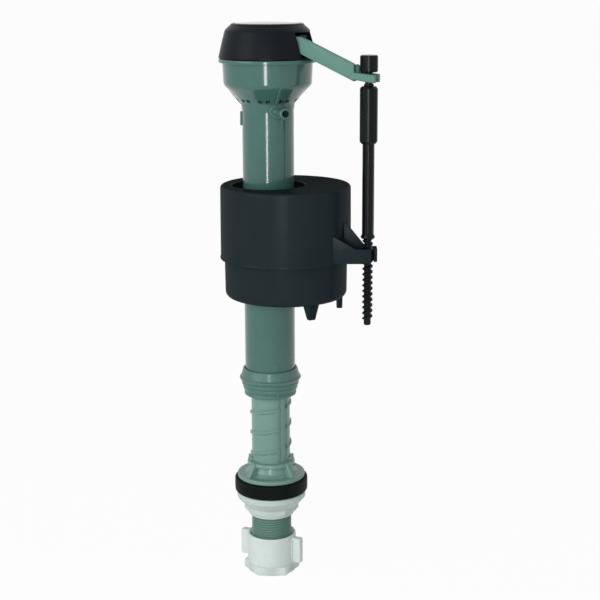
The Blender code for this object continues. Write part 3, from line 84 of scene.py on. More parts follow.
GROOVE_AZIMUTH = -50.0
MARK_AZIMUTH = -73.0
WING_AZIMUTH = -26.0
NIPPLE_AZIMUTH = -69.5
FLOAT_CENTRE = (9.0, 0.0)
PIVOT_REACH = 15.5
SWING = 10.0
FORK_DROP = 16.5
SWEEP_SIZE = 8.0
LAMPS = (
    ("left_softbox", (-1.35, -1.0, 0.8), (1.3, 1.3), 12.0, (0.0, 0.0, 0.12)),
    ("strip_softbox", (-0.044, -0.618, 0.238), (0.07, 0.325), 1.3, (0.0, 0.0, 0.238)),
    ("right_softbox", (1.3, 0.5, 0.6), (0.8, 1.2), 0.5, (0.0, 0.0, 0.12)),
)
CAMERA_LENS = 84.96
CAMERA_PLACE = (0.0165, -0.750, 0.2874)
CAMERA_PITCH = 13.4
CAMERA_ROLL = -0.004
INNER_NODES = ("cone_washer", "supply_tube", "tube_seal", "valve_seat", "diaphragm", "diaphragm_insert",
               "pilot_plate", "pilot_seal")


def heights(node):
    """Lowest and highest point of one of the frame's solids, in millimetres."""
    low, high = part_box(node)
    return low.z / MM, high.z / MM


def middle_of(node):
    """Middle of one of the frame's solids in plan, in millimetres."""
    low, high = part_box(node)
    return (low.x + high.x) / 2 / MM, (low.y + high.y) / 2 / MM


ROD_CENTRE = middle_of("adjusting_rod")
LEVER_AZIMUTH = math.degrees(math.atan2(ROD_CENTRE[1], ROD_CENTRE[0]))


# Sizes and colours


def length(name, millimetres, description):
    """A length that a user can change."""
    return FloatProperty(name=name, description=description, default=millimetres * MM, min=0.0,
                         unit="LENGTH", subtype="DISTANCE", precision=5)


def colour(name, value, description):
    """A colour that a user can change."""
    return FloatVectorProperty(name=name, description=description, default=value, size=3, min=0.0,
                               max=1.0, subtype="COLOR")


class FILLVALVE_PG_nuts(PropertyGroup):
    """Lock nut and supply coupling nut."""

    lock_rim_r: length("Lock nut rim", 19.1, "Radius of the lock nut's wide rim")
    lock_hex_r: length("Lock nut hexagon", 15.4, "Corner radius of the lock nut's hexagon")
    lock_nose_r: length("Lock nut nose", 12.6, "Radius of the round nose under the hexagon")
    bore_r: length("Nut bore", 11.4, "Radius of both nuts' bores, clear of the thread")
    barrel_r: length("Coupling barrel", 13.55, "Radius of the coupling nut's barrel")
    coupling_hex_r: length("Coupling hexagon", 15.7, "Corner radius of the coupling nut's foot")
    wing_reach: length("Wing reach", 18.7, "How far the two wings stand out from the axis")
    wing_t: length("Wing thickness", 4.2, "Thickness of each wing")


class FILLVALVE_PG_shank(PropertyGroup):
    """Inlet shank and its rubber washer."""

    washer_r: length("Washer", 20.3, "Radius of the rubber washer")
    flange_r: length("Flange", 18.7, "Radius of the shank's flange")
    tail_r: length("Thread", 11.1, "Radius of the threaded tail over its crests")
    tail_root_r: length("Thread root", 9.95, "Radius of the tail at the bottom of its thread")
    tail_pitch: length("Thread pitch", 1.42, "Rise of the tail's thread in one turn")
    tube_r: length("Tube", 10.6, "Radius of the ribbed tube")
    rib_pitch: length("Rib pitch", 11.7, "Rise of the helical ribs in one turn")
    rib_rise: length("Rib height", 0.9, "How far a rib stands off the tube")


class FILLVALVE_PG_body(PropertyGroup):
    """Riser with its bowl, and the lock ring at its foot."""

    riser_r: length("Riser", 13.7, "Outside radius of the riser tube")
    riser_wall: length("Riser wall", 1.6, "Wall of the riser tube")
    neck_r: length("Neck", 22.6, "Radius at the top of the flared neck")
    bowl_r: length("Bowl", 23.8, "Radius of the bowl under its flange")
    flange_r: length("Flange", 25.8, "Radius of the flange that carries the cap")
    nipple_r: length("Refill nipple", 3.0, "Radius of the refill nipple")
    nipple_reach: length("Nipple reach", 27.4, "How far the nipple reaches from the axis")
    ring_r: length("Lock ring", 16.9, "Radius of the lock ring's grip band")


class FILLVALVE_PG_top(PropertyGroup):
    """Cap, lever and adjusting rod."""

    cap_r: length("Cap", 25.6, "Radius of the cap at its base")
    cap_shoulder_r: length("Cap shoulder", 22.1, "Radius of the cap at its shoulder")
    lever_half_w: length("Lever half width", 10.6, "Half the lever's width at its root")
    lever_tip_half_w: length("Lever tip half width", 4.9, "Half the lever's width at the bend")
    lever_wall: length("Lever wall", 1.8, "Wall of the lever's channel")
    rod_head_r: length("Rod head", 4.6, "Radius of the rod's knurled head")
    rod_barrel_r: length("Rod barrel", 4.65, "Radius of the rod's fluted barrel")
    rod_shaft_r: length("Rod shaft", 3.1, "Radius of the rod's plain shaft")
    rod_thread_r: length("Rod thread", 2.8, "Radius of the rod's coarse thread over its crests")
    rod_pitch: length("Rod pitch", 3.0, "Rise of the rod's thread in one turn")


class FILLVALVE_PG_float(PropertyGroup):
    """Float cup in two halves."""

    top_r: length("Float top", 34.9, "Radius of the upper half at its top")
    rim_r: length("Float rim", 35.4, "Radius of the upper half at its lower rim")
    base_r: length("Float base", 33.1, "Radius of the lower half")
    wall: length("Float wall", 1.9, "Wall of the upper half")
    pocket_r: length("Pocket", 19.5, "Radius of the well round the riser")
    arm_gap: length("Arm gap", 6.6, "Room between the arm's two walls")


class FILLVALVE_PG_colours(PropertyGroup):
    """Colours of the finishes."""

    body_green: colour("Body green", (0.055, 0.150, 0.132), "Riser, bowl and lock ring")
    pale_green: colour("Pale green", (0.180, 0.330, 0.286), "Inlet shank and supply tube")
    lever_green: colour("Lever green", (0.118, 0.272, 0.230), "Float lever")
    cap_black: colour("Cap black", (0.0045, 0.008, 0.0115), "Cap and pilot plate")
    float_slate: colour("Float slate", (0.0135, 0.0225, 0.0275), "Both halves of the float")
    rod_black: colour("Rod black", (0.004, 0.006, 0.0065), "Adjusting rod")
    rubber_black: colour("Rubber black", (0.004, 0.007, 0.006), "Washers, seals and diaphragm")
    nylon_white: colour("Nylon white", (0.78, 0.88, 0.84), "Nuts, seat and insert")
    floor_white: colour("Floor white", (0.90, 0.90, 0.90), "Studio floor and backdrop")


class FILLVALVE_PG_settings(PropertyGroup):
    """All sizes and colours of the fill valve."""

    nuts: PointerProperty(type=FILLVALVE_PG_nuts)
    shank: PointerProperty(type=FILLVALVE_PG_shank)
    body: PointerProperty(type=FILLVALVE_PG_body)
    top: PointerProperty(type=FILLVALVE_PG_top)
    float_cup: PointerProperty(type=FILLVALVE_PG_float)
    colours: PointerProperty(type=FILLVALVE_PG_colours)


def in_mm(sizes):
    """The lengths of a property group as plain numbers in millimetres."""
    return SimpleNamespace(**{name: round(getattr(sizes, name) / MM, 4) for name in sizes.__annotations__})


# Modelling by hand


def deselect():
    """Leave edit mode and select nothing."""
    if bpy.context.mode != "OBJECT":
        bpy.ops.object.mode_set(mode="OBJECT")
    bpy.ops.object.select_all(action="DESELECT")


def activate(obj):
    """Make one object the only selected one."""
    deselect()
    obj.select_set(True)
    bpy.context.view_layer.objects.active = obj
    return obj


def edit(obj):
    """Enter edit mode on an object with nothing selected in it."""
    activate(obj)
    bpy.ops.object.mode_set(mode="EDIT")
    bpy.ops.mesh.select_mode(type="VERT")
    bpy.ops.mesh.select_all(action="DESELECT")


def done():
    """Go back to object mode."""
    bpy.ops.object.mode_set(mode="OBJECT")


def pick(obj, kind, test):
    """In edit mode, select the vertices, edges or faces whose place and normal pass a test."""
    bpy.ops.mesh.select_mode(type=kind)
    bpy.ops.mesh.select_all(action="DESELECT")
    mesh = bmesh.from_edit_mesh(obj.data)
    if kind == "FACE":
        found = [(face, face.calc_center_median(), face.normal) for face in mesh.faces]
    elif kind == "EDGE":
        found = [(edge, (edge.verts[0].co + edge.verts[1].co) / 2,
                  (edge.verts[1].co - edge.verts[0].co).normalized()) for edge in mesh.edges]
    else:
        found = [(vert, vert.co, vert.normal) for vert in mesh.verts]
    for part, place, normal in found:
        if test(place / MM, normal):
            part.select_set(True)
    mesh.select_flush_mode()
    bmesh.update_edit_mesh(obj.data)


def heal(obj):
    """Merge doubled vertices and turn the faces outwards."""
    edit(obj)
    bpy.ops.mesh.select_all(action="SELECT")
    bpy.ops.mesh.remove_doubles(threshold=MERGE)
    bpy.ops.mesh.normals_make_consistent(inside=False)
    done()
    return obj


def draw_line(points, name="line"):
    """Draw a chain of edges: a plane merged to one vertex is extruded from point to point."""
    deselect()
    places = [Vector(point) * MM for point in points]
    bpy.ops.mesh.primitive_plane_add(size=MM, location=(0.0, 0.0, 0.0))
    line = bpy.context.object
    line.name = name
    bpy.ops.object.mode_set(mode="EDIT")
    bpy.ops.mesh.select_mode(type="VERT")
    bpy.ops.mesh.merge(type="CENTER")
    bpy.ops.transform.translate(value=places[0])
    for start, end in zip(places, places[1:]):
        bpy.ops.mesh.extrude_vertices_move(TRANSFORM_OT_translate={"value": end - start})
    bpy.ops.mesh.select_all(action="SELECT")
    bpy.ops.mesh.remove_doubles(threshold=MERGE)
    done()
    return line


def round_corners(line, corners, segments):
    """Bevel the vertices of a drawn line; each corner is a place and its own setback."""
    edit(line)
    for setback in sorted({size for _, size in corners if size > 0}):
        places = [Vector(place) for place, size in corners if size == setback]
        pick(line, "VERT", lambda here, _: any((here - place).length < TOUCH for place in places))
        bpy.ops.mesh.bevel(offset=setback * MM, offset_type="OFFSET", segments=segments, affect="VERTICES")
    done()
    return line


def supported(outline, closed):
    """Add a point near both ends of each long straight run, so that its shading stays straight."""
    points = []
    for here, there in zip(outline, outline[1:] + outline[:1] if closed else outline[1:]):
        near, far = (SUPPORT + (end[2] if len(end) > 2 else 0.0) for end in (here, there))
        start, end = Vector(here[:2]), Vector(there[:2])
        run = (end - start).length
        points.append(here)
        if run > near + far + SUPPORT:
            points += [tuple(start.lerp(end, near / run)), tuple(end.lerp(start, far / run))]
    return points if closed else points + outline[-1:]


def turned(outline, steps=LARGE_STEPS, centre=(0.0, 0.0), closed=True, segments=4):
    """Spin an outline of (radius, height) or (radius, height, rounding) about a vertical axis."""
    outline = supported(outline, closed)
    corners = [((centre[0] + corner[0], centre[1], corner[1]), corner[2] if len(corner) > 2 else 0.0)
               for corner in outline]
    places = [place for place, _ in corners]
    line = draw_line(places + places[:1] if closed else places, "turned")
    round_corners(line, corners, segments)
    edit(line)
    bpy.ops.mesh.select_all(action="SELECT")
    bpy.ops.mesh.spin(steps=steps, angle=math.tau, center=(centre[0] * MM, centre[1] * MM, 0.0),
                      axis=(0.0, 0.0, 1.0))
    done()
    return heal(line)


def wound(outline, pitch, turns, steps, low, closed=False):
    """Wind an outline of (radius, height) up a right-hand helix that starts at a height."""
    points = [(radius, 0.0, height) for radius, height in outline]
    coil = draw_line(points + points[:1] if closed else points, "wound")
    wind = coil.modifiers.new("wind", "SCREW")
    wind.angle = math.tau
    wind.screw_offset = pitch * MM
    wind.iterations = turns
    wind.steps = wind.render_steps = steps
    wind.use_merge_vertices = False
    bpy.ops.object.modifier_apply(modifier=wind.name)
    return settle(heal(coil), (0.0, 0.0, low))


def settle(obj, offset=(0.0, 0.0, 0.0), azimuth=0.0):
    """Move and turn a piece about Z, then put its place into its mesh."""
    activate(obj)
    obj.rotation_euler = (0.0, 0.0, math.radians(azimuth))
    obj.location = Matrix.Rotation(math.radians(azimuth), 3, "Z") @ (Vector(offset) * MM)
    bpy.ops.object.transform_apply(location=True, rotation=True, scale=True)
    return obj


def block(low, high, azimuth=0.0, edge=0.0):
    """A cube at its size and place between two corners, with softened edges, turned about Z."""
    deselect()
    size = [b - a for a, b in zip(low, high)]
    middle = [(a + b) / 2 for a, b in zip(low, high)]
    bpy.ops.mesh.primitive_cube_add(size=1.0, location=Vector(middle) * MM)
    cube = bpy.context.object
    cube.scale = Vector(size) * MM
    bpy.ops.object.transform_apply(location=True, rotation=False, scale=True)
    if edge:
        soften(cube, edge)
    return settle(cube, azimuth=azimuth)


def plate(outline, half_width, azimuth=0.0, edge=0.0):
    """Fill an outline of (reach, height) and extrude it across, to a half width either side."""
    across = half_width if callable(half_width) else lambda reach: half_width
    points = [(reach, -across(reach), height) for reach, height in outline]
    slab = draw_line(points + points[:1], "plate")
    edit(slab)
    bpy.ops.mesh.select_all(action="SELECT")
    bpy.ops.mesh.edge_face_add()
    bpy.ops.mesh.extrude_region_move(TRANSFORM_OT_translate={"value": (0.0, 0.0, 0.0)})
    bpy.ops.transform.resize(value=(1.0, -1.0, 1.0), center_override=(0.0, 0.0, 0.0))
    bpy.ops.mesh.select_all(action="SELECT")
    bpy.ops.mesh.normals_make_consistent(inside=False)
    done()
    if edge:
        soften(slab, edge)
    return settle(slab, azimuth=azimuth)


def hexagon(radius, low, high, edge, envelope, bore):
    """A nut's hexagon: a softened prism, turned down to an outline and bored."""
    deselect()
    bpy.ops.mesh.primitive_cylinder_add(
        vertices=6, radius=radius * MM, depth=(high - low) * MM, rotation=(0.0, 0.0, math.pi / 2),
        location=(0.0, 0.0, (low + high) / 2 * MM))
    prism = bpy.context.object
    bpy.ops.object.transform_apply(location=True, rotation=True, scale=True)
    soften(prism, edge)
    keep(prism, turned(envelope, closed=False))
    return cut(prism, bar((0, 0, low - OVER), (0, 0, high + OVER), bore, LARGE_STEPS))


def bar(start, end, radius, steps=SMALL_STEPS, edge=0.0):
    """A round bar from one point to another."""
    deselect()
    start, end = Vector(start), Vector(end)
    run = end - start
    bpy.ops.mesh.primitive_cylinder_add(
        vertices=steps, radius=radius * MM, depth=run.length * MM, location=(start + end) / 2 * MM,
        rotation=run.to_track_quat("Z", "Y").to_euler())
    round_bar = bpy.context.object
    bpy.ops.object.transform_apply(location=True, rotation=True, scale=True)
    if edge:
        soften(round_bar, edge)
    return round_bar


def soften(obj, width, segments=3):
    """Round the sharp edges with a bevel modifier and apply it."""
    activate(obj)
    edge = obj.modifiers.new("edge", "BEVEL")
    edge.width = width * MM
    edge.segments = segments
    edge.limit_method = "ANGLE"
    edge.angle_limit = math.radians(SHARP_ANGLE)
    edge.use_clamp_overlap = True
    bpy.ops.object.modifier_apply(modifier=edge.name)
    return obj


def combine(target, tools, operation):
    """Add tools to a target or cut them from it, and remove the tools."""
    for tool in tools:
        activate(target)
        change = target.modifiers.new("solid", "BOOLEAN")
        change.operation = operation
        change.solver = "EXACT"
        change.object = tool
        bpy.ops.object.modifier_apply(modifier=change.name)
        bpy.data.objects.remove(tool)
    return target


def add(target, *tools):
    return combine(target, tools, "UNION")


def cut(target, *tools):
    return combine(target, tools, "DIFFERENCE")


def keep(target, *tools):
    return combine(target, tools, "INTERSECT")


def gather(shells):
    """Join closed shells into one object."""
    activate(shells[0])
    for shell in shells[1:]:
        shell.select_set(True)
    bpy.ops.object.join()
    return bpy.context.object


def copies(obj, azimuths):
    """Copies of a piece turned about the Z axis, each with its own mesh, beside the piece itself."""
    made = [obj]
    for azimuth in azimuths:
        activate(obj)
        bpy.ops.object.duplicate(linked=False)
        made.append(settle(bpy.context.object, azimuth=azimuth))
    return made


def trim(obj, height, above):
    """Bisect a piece at a height, drop what is above or below, and close the cut."""
    edit(obj)
    bpy.ops.mesh.select_all(action="SELECT")
    bpy.ops.mesh.bisect(plane_co=(0.0, 0.0, height * MM), plane_no=(0.0, 0.0, 1.0), use_fill=True,
                        clear_outer=above, clear_inner=not above)
    done()
    return heal(obj)


def direction(azimuth):
    """Unit vector in the ground plane at an azimuth from +X."""
    return Vector((math.cos(math.radians(azimuth)), math.sin(math.radians(azimuth)), 0.0))


def present(obj, name, body, node):
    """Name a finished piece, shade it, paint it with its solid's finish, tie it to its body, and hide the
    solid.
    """
    activate(obj)
    obj.name = name
    obj.data.name = name
    bpy.ops.object.shade_smooth_by_angle(angle=math.radians(SMOOTH_ANGLE))
    obj.data.materials.clear()
    obj.data.materials.append(FINISHES[node])
    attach(obj, body)
    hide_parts(node)


# Finishes


def place(tree, kind, **settings):
    """Add a node to a tree with its settings."""
    node = tree.nodes.new(kind)
    for key, value in settings.items():
        setattr(node, key, value)
    return node


def new_group(name, inputs, outputs):
    """A shader node group: its tree, the values it is given and the sockets it feeds."""
    tree = bpy.data.node_groups.new(name, "ShaderNodeTree")
    for socket, default in inputs.items():
        kind = "NodeSocketColor" if isinstance(default, tuple) else "NodeSocketFloat"
        tree.interface.new_socket(name=socket, in_out="INPUT", socket_type=kind).default_value = default
    for socket in outputs:
        kind = "NodeSocketColor" if socket == "Colour" else "NodeSocketFloat"
        tree.interface.new_socket(name=socket, in_out="OUTPUT", socket_type=kind)
    return tree, place(tree, "NodeGroupInput").outputs, place(tree, "NodeGroupOutput").inputs


def connect(tree, source, target):
    tree.links.new(source, target)


def feed(tree, value, target):
    """Give a socket its value: another socket's output, or a constant number or colour."""
    if isinstance(value, (float, tuple)):
        target.default_value = value
    else:
        connect(tree, value, target)


def scaled_noise(tree, where, scale, detail, stretch=None, rough=0.5):
    """Noise on object coordinates, stretched along its axes where stated."""
    if stretch:
        mapping = place(tree, "ShaderNodeMapping")
        mapping.inputs["Scale"].default_value = stretch
        connect(tree, where, mapping.inputs["Vector"])
        where = mapping.outputs["Vector"]
    noise = place(tree, "ShaderNodeTexNoise")
    noise.inputs["Detail"].default_value = detail
    noise.inputs["Roughness"].default_value = rough
    connect(tree, where, noise.inputs["Vector"])
    feed(tree, scale, noise.inputs["Scale"])
    return noise.outputs["Fac"]


def remap(tree, value, low, high, to_low, to_high):
    """Map Range node from one span to another; the ends may be sockets or numbers."""
    node = place(tree, "ShaderNodeMapRange")
    connect(tree, value, node.inputs["Value"])
    for socket, end in (("From Min", low), ("From Max", high), ("To Min", to_low), ("To Max", to_high)):
        feed(tree, end, node.inputs[socket])
    return node.outputs["Result"]


def mix_colour(tree, factor, first, second):
    """Mix two colours by a factor."""
    node = place(tree, "ShaderNodeMix", data_type="RGBA")
    for socket, value in (("Factor", factor), ("A", first), ("B", second)):
        feed(tree, value, node.inputs[socket])
    return node.outputs["Result"]


def arithmetic(tree, operation, first, second):
    """A Math node of two values."""
    node = place(tree, "ShaderNodeMath", operation=operation)
    for socket, value in zip(node.inputs, (first, second)):
        feed(tree, value, socket)
    return node.outputs["Value"]


def moulding_group():
    """Mottled colour, cloudy gloss and a fine mould grain for injection-moulded plastic."""
    tree, inside, out = new_group("moulded_plastic", {
        "Colour": (0.5, 0.5, 0.5, 1.0),
        "Cloud Colour": (0.6, 0.6, 0.6, 1.0),
        "Cloud Scale": 40.0,
        "Cloud Amount": 0.5,
        "Low Gloss": 0.25,
        "High Gloss": 0.4,
        "Grain Scale": 2500.0,
    }, ("Colour", "Roughness", "Height"))
    where = place(tree, "ShaderNodeTexCoord").outputs["Object"]
    clouds = scaled_noise(tree, where, inside["Cloud Scale"], 4.0)
    flow = scaled_noise(tree, where, inside["Cloud Scale"], 3.0, stretch=(3.0, 3.0, 0.35))
    blend = arithmetic(tree, "MULTIPLY", remap(tree, clouds, 0.35, 0.65, 0.0, 1.0), inside["Cloud Amount"])
    tinted = mix_colour(tree, blend, inside["Colour"], inside["Cloud Colour"])
    fleck = scaled_noise(tree, where, inside["Grain Scale"], 2.0)
    shade = remap(tree, fleck, 0.3, 0.7, 0.94, 1.05)
    value = place(tree, "ShaderNodeHueSaturation")
    connect(tree, tinted, value.inputs["Color"])
    connect(tree, shade, value.inputs["Value"])
    connect(tree, value.outputs["Color"], out["Colour"])
    gloss = remap(tree, flow, 0.3, 0.7, inside["Low Gloss"], inside["High Gloss"])
    connect(tree, gloss, out["Roughness"])
    ripple = arithmetic(tree, "MULTIPLY", flow, 0.35)
    connect(tree, arithmetic(tree, "ADD", arithmetic(tree, "MULTIPLY", fleck, 0.25), ripple), out["Height"])
    return tree


def handling_group():
    """Hairlines, a film of dust on faces that look up, and a gloss coat for sides and tops."""
    tree, inside, out = new_group("handling_marks", {
        "Colour": (0.5, 0.5, 0.5, 1.0),
        "Roughness": 0.3,
        "Scratch Scale": 600.0,
        "Scratch Amount": 0.15,
        "Dust Colour": (0.6, 0.6, 0.58, 1.0),
        "Dust Amount": 0.05,
        "Side Coat": 0.0,
        "Top Coat": 0.0,
    }, ("Colour", "Roughness", "Scratches", "Coat"))
    where = place(tree, "ShaderNodeTexCoord").outputs["Object"]
    lines = scaled_noise(tree, where, inside["Scratch Scale"], 2.0, stretch=(1.0, 0.6, 0.05))
    crossed = scaled_noise(tree, where, inside["Scratch Scale"], 2.0, stretch=(0.08, 0.9, 1.0))
    hair = arithmetic(tree, "MAXIMUM", remap(tree, lines, 0.66, 0.72, 0.0, 1.0),
                      remap(tree, crossed, 0.68, 0.74, 0.0, 1.0))
    marks = arithmetic(tree, "MULTIPLY", hair, inside["Scratch Amount"])
    connect(tree, marks, out["Scratches"])
    facing = place(tree, "ShaderNodeSeparateXYZ")
    connect(tree, place(tree, "ShaderNodeNewGeometry").outputs["Normal"], facing.inputs["Vector"])
    upward = remap(tree, facing.outputs["Z"], 0.2, 1.0, 0.0, 1.0)
    patches = remap(tree, scaled_noise(tree, where, 220.0, 5.0), 0.4, 0.7, 0.2, 1.0)
    dust = arithmetic(tree, "MULTIPLY", arithmetic(tree, "MULTIPLY", upward, patches), inside["Dust Amount"])
    connect(tree, mix_colour(tree, dust, inside["Colour"], inside["Dust Colour"]), out["Colour"])
    duller = arithmetic(tree, "ADD", inside["Roughness"], arithmetic(tree, "MULTIPLY", marks, 0.8))
    connect(tree, arithmetic(tree, "ADD", duller, dust), out["Roughness"])
    coat = remap(tree, facing.outputs["Z"], 0.75, 0.95, inside["Side Coat"], inside["Top Coat"])
    connect(tree, coat, out["Coat"])
    return tree


def rubber_group():
    """Matt rubber with a pale bloom, mould specks and a faint flow pattern."""
    tree, inside, out = new_group("moulded_rubber", {
        "Colour": (0.02, 0.02, 0.02, 1.0),
        "Bloom Colour": (0.06, 0.065, 0.06, 1.0),
        "Bloom Amount": 0.4,
        "Speck Scale": 1800.0,
    }, ("Colour", "Roughness", "Height"))
    where = place(tree, "ShaderNodeTexCoord").outputs["Object"]
    bloom = remap(tree, scaled_noise(tree, where, 90.0, 6.0, rough=0.65), 0.45, 0.75, 0.0, 1.0)
    amount = arithmetic(tree, "MULTIPLY", bloom, inside["Bloom Amount"])
    connect(tree, mix_colour(tree, amount, inside["Colour"], inside["Bloom Colour"]), out["Colour"])
    specks = scaled_noise(tree, where, inside["Speck Scale"], 3.0)
    connect(tree, remap(tree, specks, 0.3, 0.7, 0.42, 0.62), out["Roughness"])
    connect(tree, specks, out["Height"])
    return tree


def build_groups():
    """Node groups that the finishes share."""
    return {"moulding": moulding_group(), "handling": handling_group(), "rubber": rubber_group()}


def shader_of(name):
    """A new material, its tree and its Principled shader."""
    made = bpy.data.materials.new(name)
    made.use_nodes = True
    return made, made.node_tree, made.node_tree.nodes["Principled BSDF"]


def use_group(tree, group, **values):
    """Place a node group in a material and set its inputs."""
    node = place(tree, "ShaderNodeGroup", node_tree=group)
    for socket, value in values.items():
        node.inputs[socket.replace("_", " ").title()].default_value = value
    return node


def relief(tree, shader, height, strength, distance):
    """Feed a height into the shader's normal through a Bump node."""
    bump = place(tree, "ShaderNodeBump")
    bump.inputs["Strength"].default_value = strength
    bump.inputs["Distance"].default_value = distance * MM
    connect(tree, height, bump.inputs["Height"])
    connect(tree, bump.outputs["Normal"], shader.inputs["Normal"])


def plastic(name, groups, base, cloud, cloud_amount, gloss, coat=(0.0, 0.0), coat_rough=0.05,
            specular=0.45, grain=2500.0, dust=0.02, scratches=0.08, cloud_scale=45.0, depth=0.03):
    """Moulded plastic: clouded colour, grain, hairlines, dust, and a coat for its sides and top."""
    made, tree, shader = shader_of(name)
    skin = use_group(tree, groups["moulding"], colour=(*base, 1.0), cloud_colour=(*cloud, 1.0),
                     cloud_scale=cloud_scale, cloud_amount=cloud_amount, low_gloss=gloss[0],
                     high_gloss=gloss[1], grain_scale=grain)
    marks = use_group(tree, groups["handling"], scratch_amount=scratches, dust_amount=dust,
                      side_coat=coat[0], top_coat=coat[1])
    connect(tree, skin.outputs["Colour"], marks.inputs["Colour"])
    connect(tree, skin.outputs["Roughness"], marks.inputs["Roughness"])
    connect(tree, marks.outputs["Colour"], shader.inputs["Base Color"])
    connect(tree, marks.outputs["Roughness"], shader.inputs["Roughness"])
    height = arithmetic(tree, "SUBTRACT", skin.outputs["Height"],
                        arithmetic(tree, "MULTIPLY", marks.outputs["Scratches"], 0.6))
    relief(tree, shader, height, 0.25, depth)
    shader.inputs["Specular IOR Level"].default_value = specular
    connect(tree, marks.outputs["Coat"], shader.inputs["Coat Weight"])
    shader.inputs["Coat Roughness"].default_value = coat_rough
    return made


def rubber(name, groups, base, bloom_amount=0.4):
    """Matt moulded rubber."""
    made, tree, shader = shader_of(name)
    bloom = tuple(2.2 * channel + 0.006 for channel in base)
    skin = use_group(tree, groups["rubber"], colour=(*base, 1.0), bloom_colour=(*bloom, 1.0),
                     bloom_amount=bloom_amount)
    connect(tree, skin.outputs["Colour"], shader.inputs["Base Color"])
    connect(tree, skin.outputs["Roughness"], shader.inputs["Roughness"])
    relief(tree, shader, skin.outputs["Height"], 0.35, 0.06)
    shader.inputs["Specular IOR Level"].default_value = 0.06
    return made


def nylon(name, groups, base):
    """Milky nylon: it lets a little light through and has a satin skin."""
    cloud = tuple(channel * 0.93 for channel in base)
    made = plastic(name, groups, base, cloud, 0.5, (0.34, 0.48), grain=1600.0, dust=0.0, scratches=0.1,
                   cloud_scale=60.0, depth=0.04)
    shader = made.node_tree.nodes["Principled BSDF"]
    shader.inputs["Subsurface Weight"].default_value = 0.25
    shader.inputs["Subsurface Radius"].default_value = (1.0, 1.0, 0.9)
    shader.inputs["Subsurface Scale"].default_value = 0.003
    return made


def mixed(base, share, other):
    """A colour between two others."""
    return tuple(a + (b - a) * share for a, b in zip(base, other))


FINISHES = {}


def build_finishes(colours):
    """All materials by the name of the frame's slot that they dress."""
    groups = build_groups()
    green = tuple(colours.body_green)
    pale = tuple(colours.pale_green)
    lever = tuple(colours.lever_green)
    black = tuple(colours.cap_black)
    slate = tuple(colours.float_slate)
    jet = tuple(colours.rod_black)
    gum = tuple(colours.rubber_black)
    milk = tuple(colours.nylon_white)
    green_cloud = mixed(green, 0.35, (0.10, 0.26, 0.19))
    pale_cloud = mixed(pale, 0.4, (0.19, 0.34, 0.27))
    lever_cloud = mixed(lever, 0.4, (0.14, 0.32, 0.24))
    black_cloud = mixed(black, 0.4, (0.010, 0.011, 0.018))
    slate_cloud = mixed(slate, 0.4, (0.020, 0.034, 0.036))
    jet_cloud = mixed(jet, 0.4, (0.010, 0.014, 0.016))
    FINISHES.update({
        "valve_body": plastic("body_green_plastic", groups, green, green_cloud, 0.5, (0.12, 0.2),
                              coat=(0.3, 0.2), coat_rough=0.05, specular=0.3),
        # The lock ring is the body's green moved three tenths of the way to the pale green. This lighter copy
        # is painted light, which offsets the shade that falls on the ring.
        "lock_ring": plastic("ring_green_painted_lighter", groups, mixed(green, 0.3, pale), green_cloud, 0.4,
                             (0.3, 0.4), coat=(0.15, 0.15), coat_rough=0.12, specular=0.3, grain=3000.0),
        "inlet_shank": plastic("pale_green_plastic", groups, pale, pale_cloud, 0.6, (0.26, 0.38),
                               coat=(0.1, 0.1)),
        "lever_arm": plastic("lever_green_plastic", groups, lever, lever_cloud, 0.7,
                             (0.38, 0.5), specular=0.25),
        "cap": plastic("cap_black_plastic", groups, black, black_cloud, 0.6,
                       (0.34, 0.44), coat=(0.0, 1.0), coat_rough=0.03, specular=0.1, dust=0.0,
                       depth=0.015),
        "float_shell": plastic("float_slate_plastic", groups, slate, slate_cloud, 0.7, (0.4, 0.5),
                               coat=(0.14, 0.035), coat_rough=0.32, specular=0.0, dust=0.004),
        "float_base": plastic("float_base_plastic", groups, slate, slate_cloud, 0.7, (0.4, 0.5),
                              coat=(0.14, 0.035), coat_rough=0.34, specular=0.0, dust=0.004),
        "adjusting_rod": plastic("rod_black_plastic", groups, jet, jet_cloud, 0.6,
                                 (0.2, 0.3), specular=0.14, grain=4000.0, dust=0.0),
        "lock_nut": nylon("lock_nut_nylon", groups, mixed(milk, 0.25, pale)),
        "coupling_nut": nylon("coupling_nut_nylon", groups, milk),
        "valve_seat": nylon("seat_nylon", groups, mixed(milk, 0.3, (0.6, 0.62, 0.55))),
        "diaphragm_insert": nylon("insert_nylon", groups, milk),
        "supply_tube": plastic("supply_tube_plastic", groups, mixed(pale, 0.3, milk), pale, 0.5, (0.3, 0.42)),
        "pilot_plate": plastic("pilot_plate_plastic", groups, black, slate, 0.5, (0.3, 0.42)),
        "shank_washer": rubber("shank_washer_rubber", groups, gum, 0.35),
        "cone_washer": rubber("cone_washer_rubber", groups, mixed(gum, 0.1, (0.2, 0.2, 0.2)), 0.5),
        "tube_seal": rubber("tube_seal_rubber", groups, gum, 0.5),
        "diaphragm": rubber("diaphragm_rubber", groups, mixed(gum, 0.08, (0.3, 0.2, 0.1)), 0.6),
        "pilot_seal": rubber("pilot_seal_rubber", groups, gum, 0.3),
    })


# Pieces


class FILLVALVE_OT_finishes(Operator):
    """Make the materials and dress the solids inside the valve, which keep their own shapes"""

    bl_idname = "fill_valve.finishes"
    bl_label = "Finishes"

    def execute(self, context):
        build_finishes(context.scene.fill_valve.colours)
        for node in INNER_NODES:
            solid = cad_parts[node]
            for material_slot in solid.material_slots:
                material_slot.material = FINISHES[node]
        return {"FINISHED"}


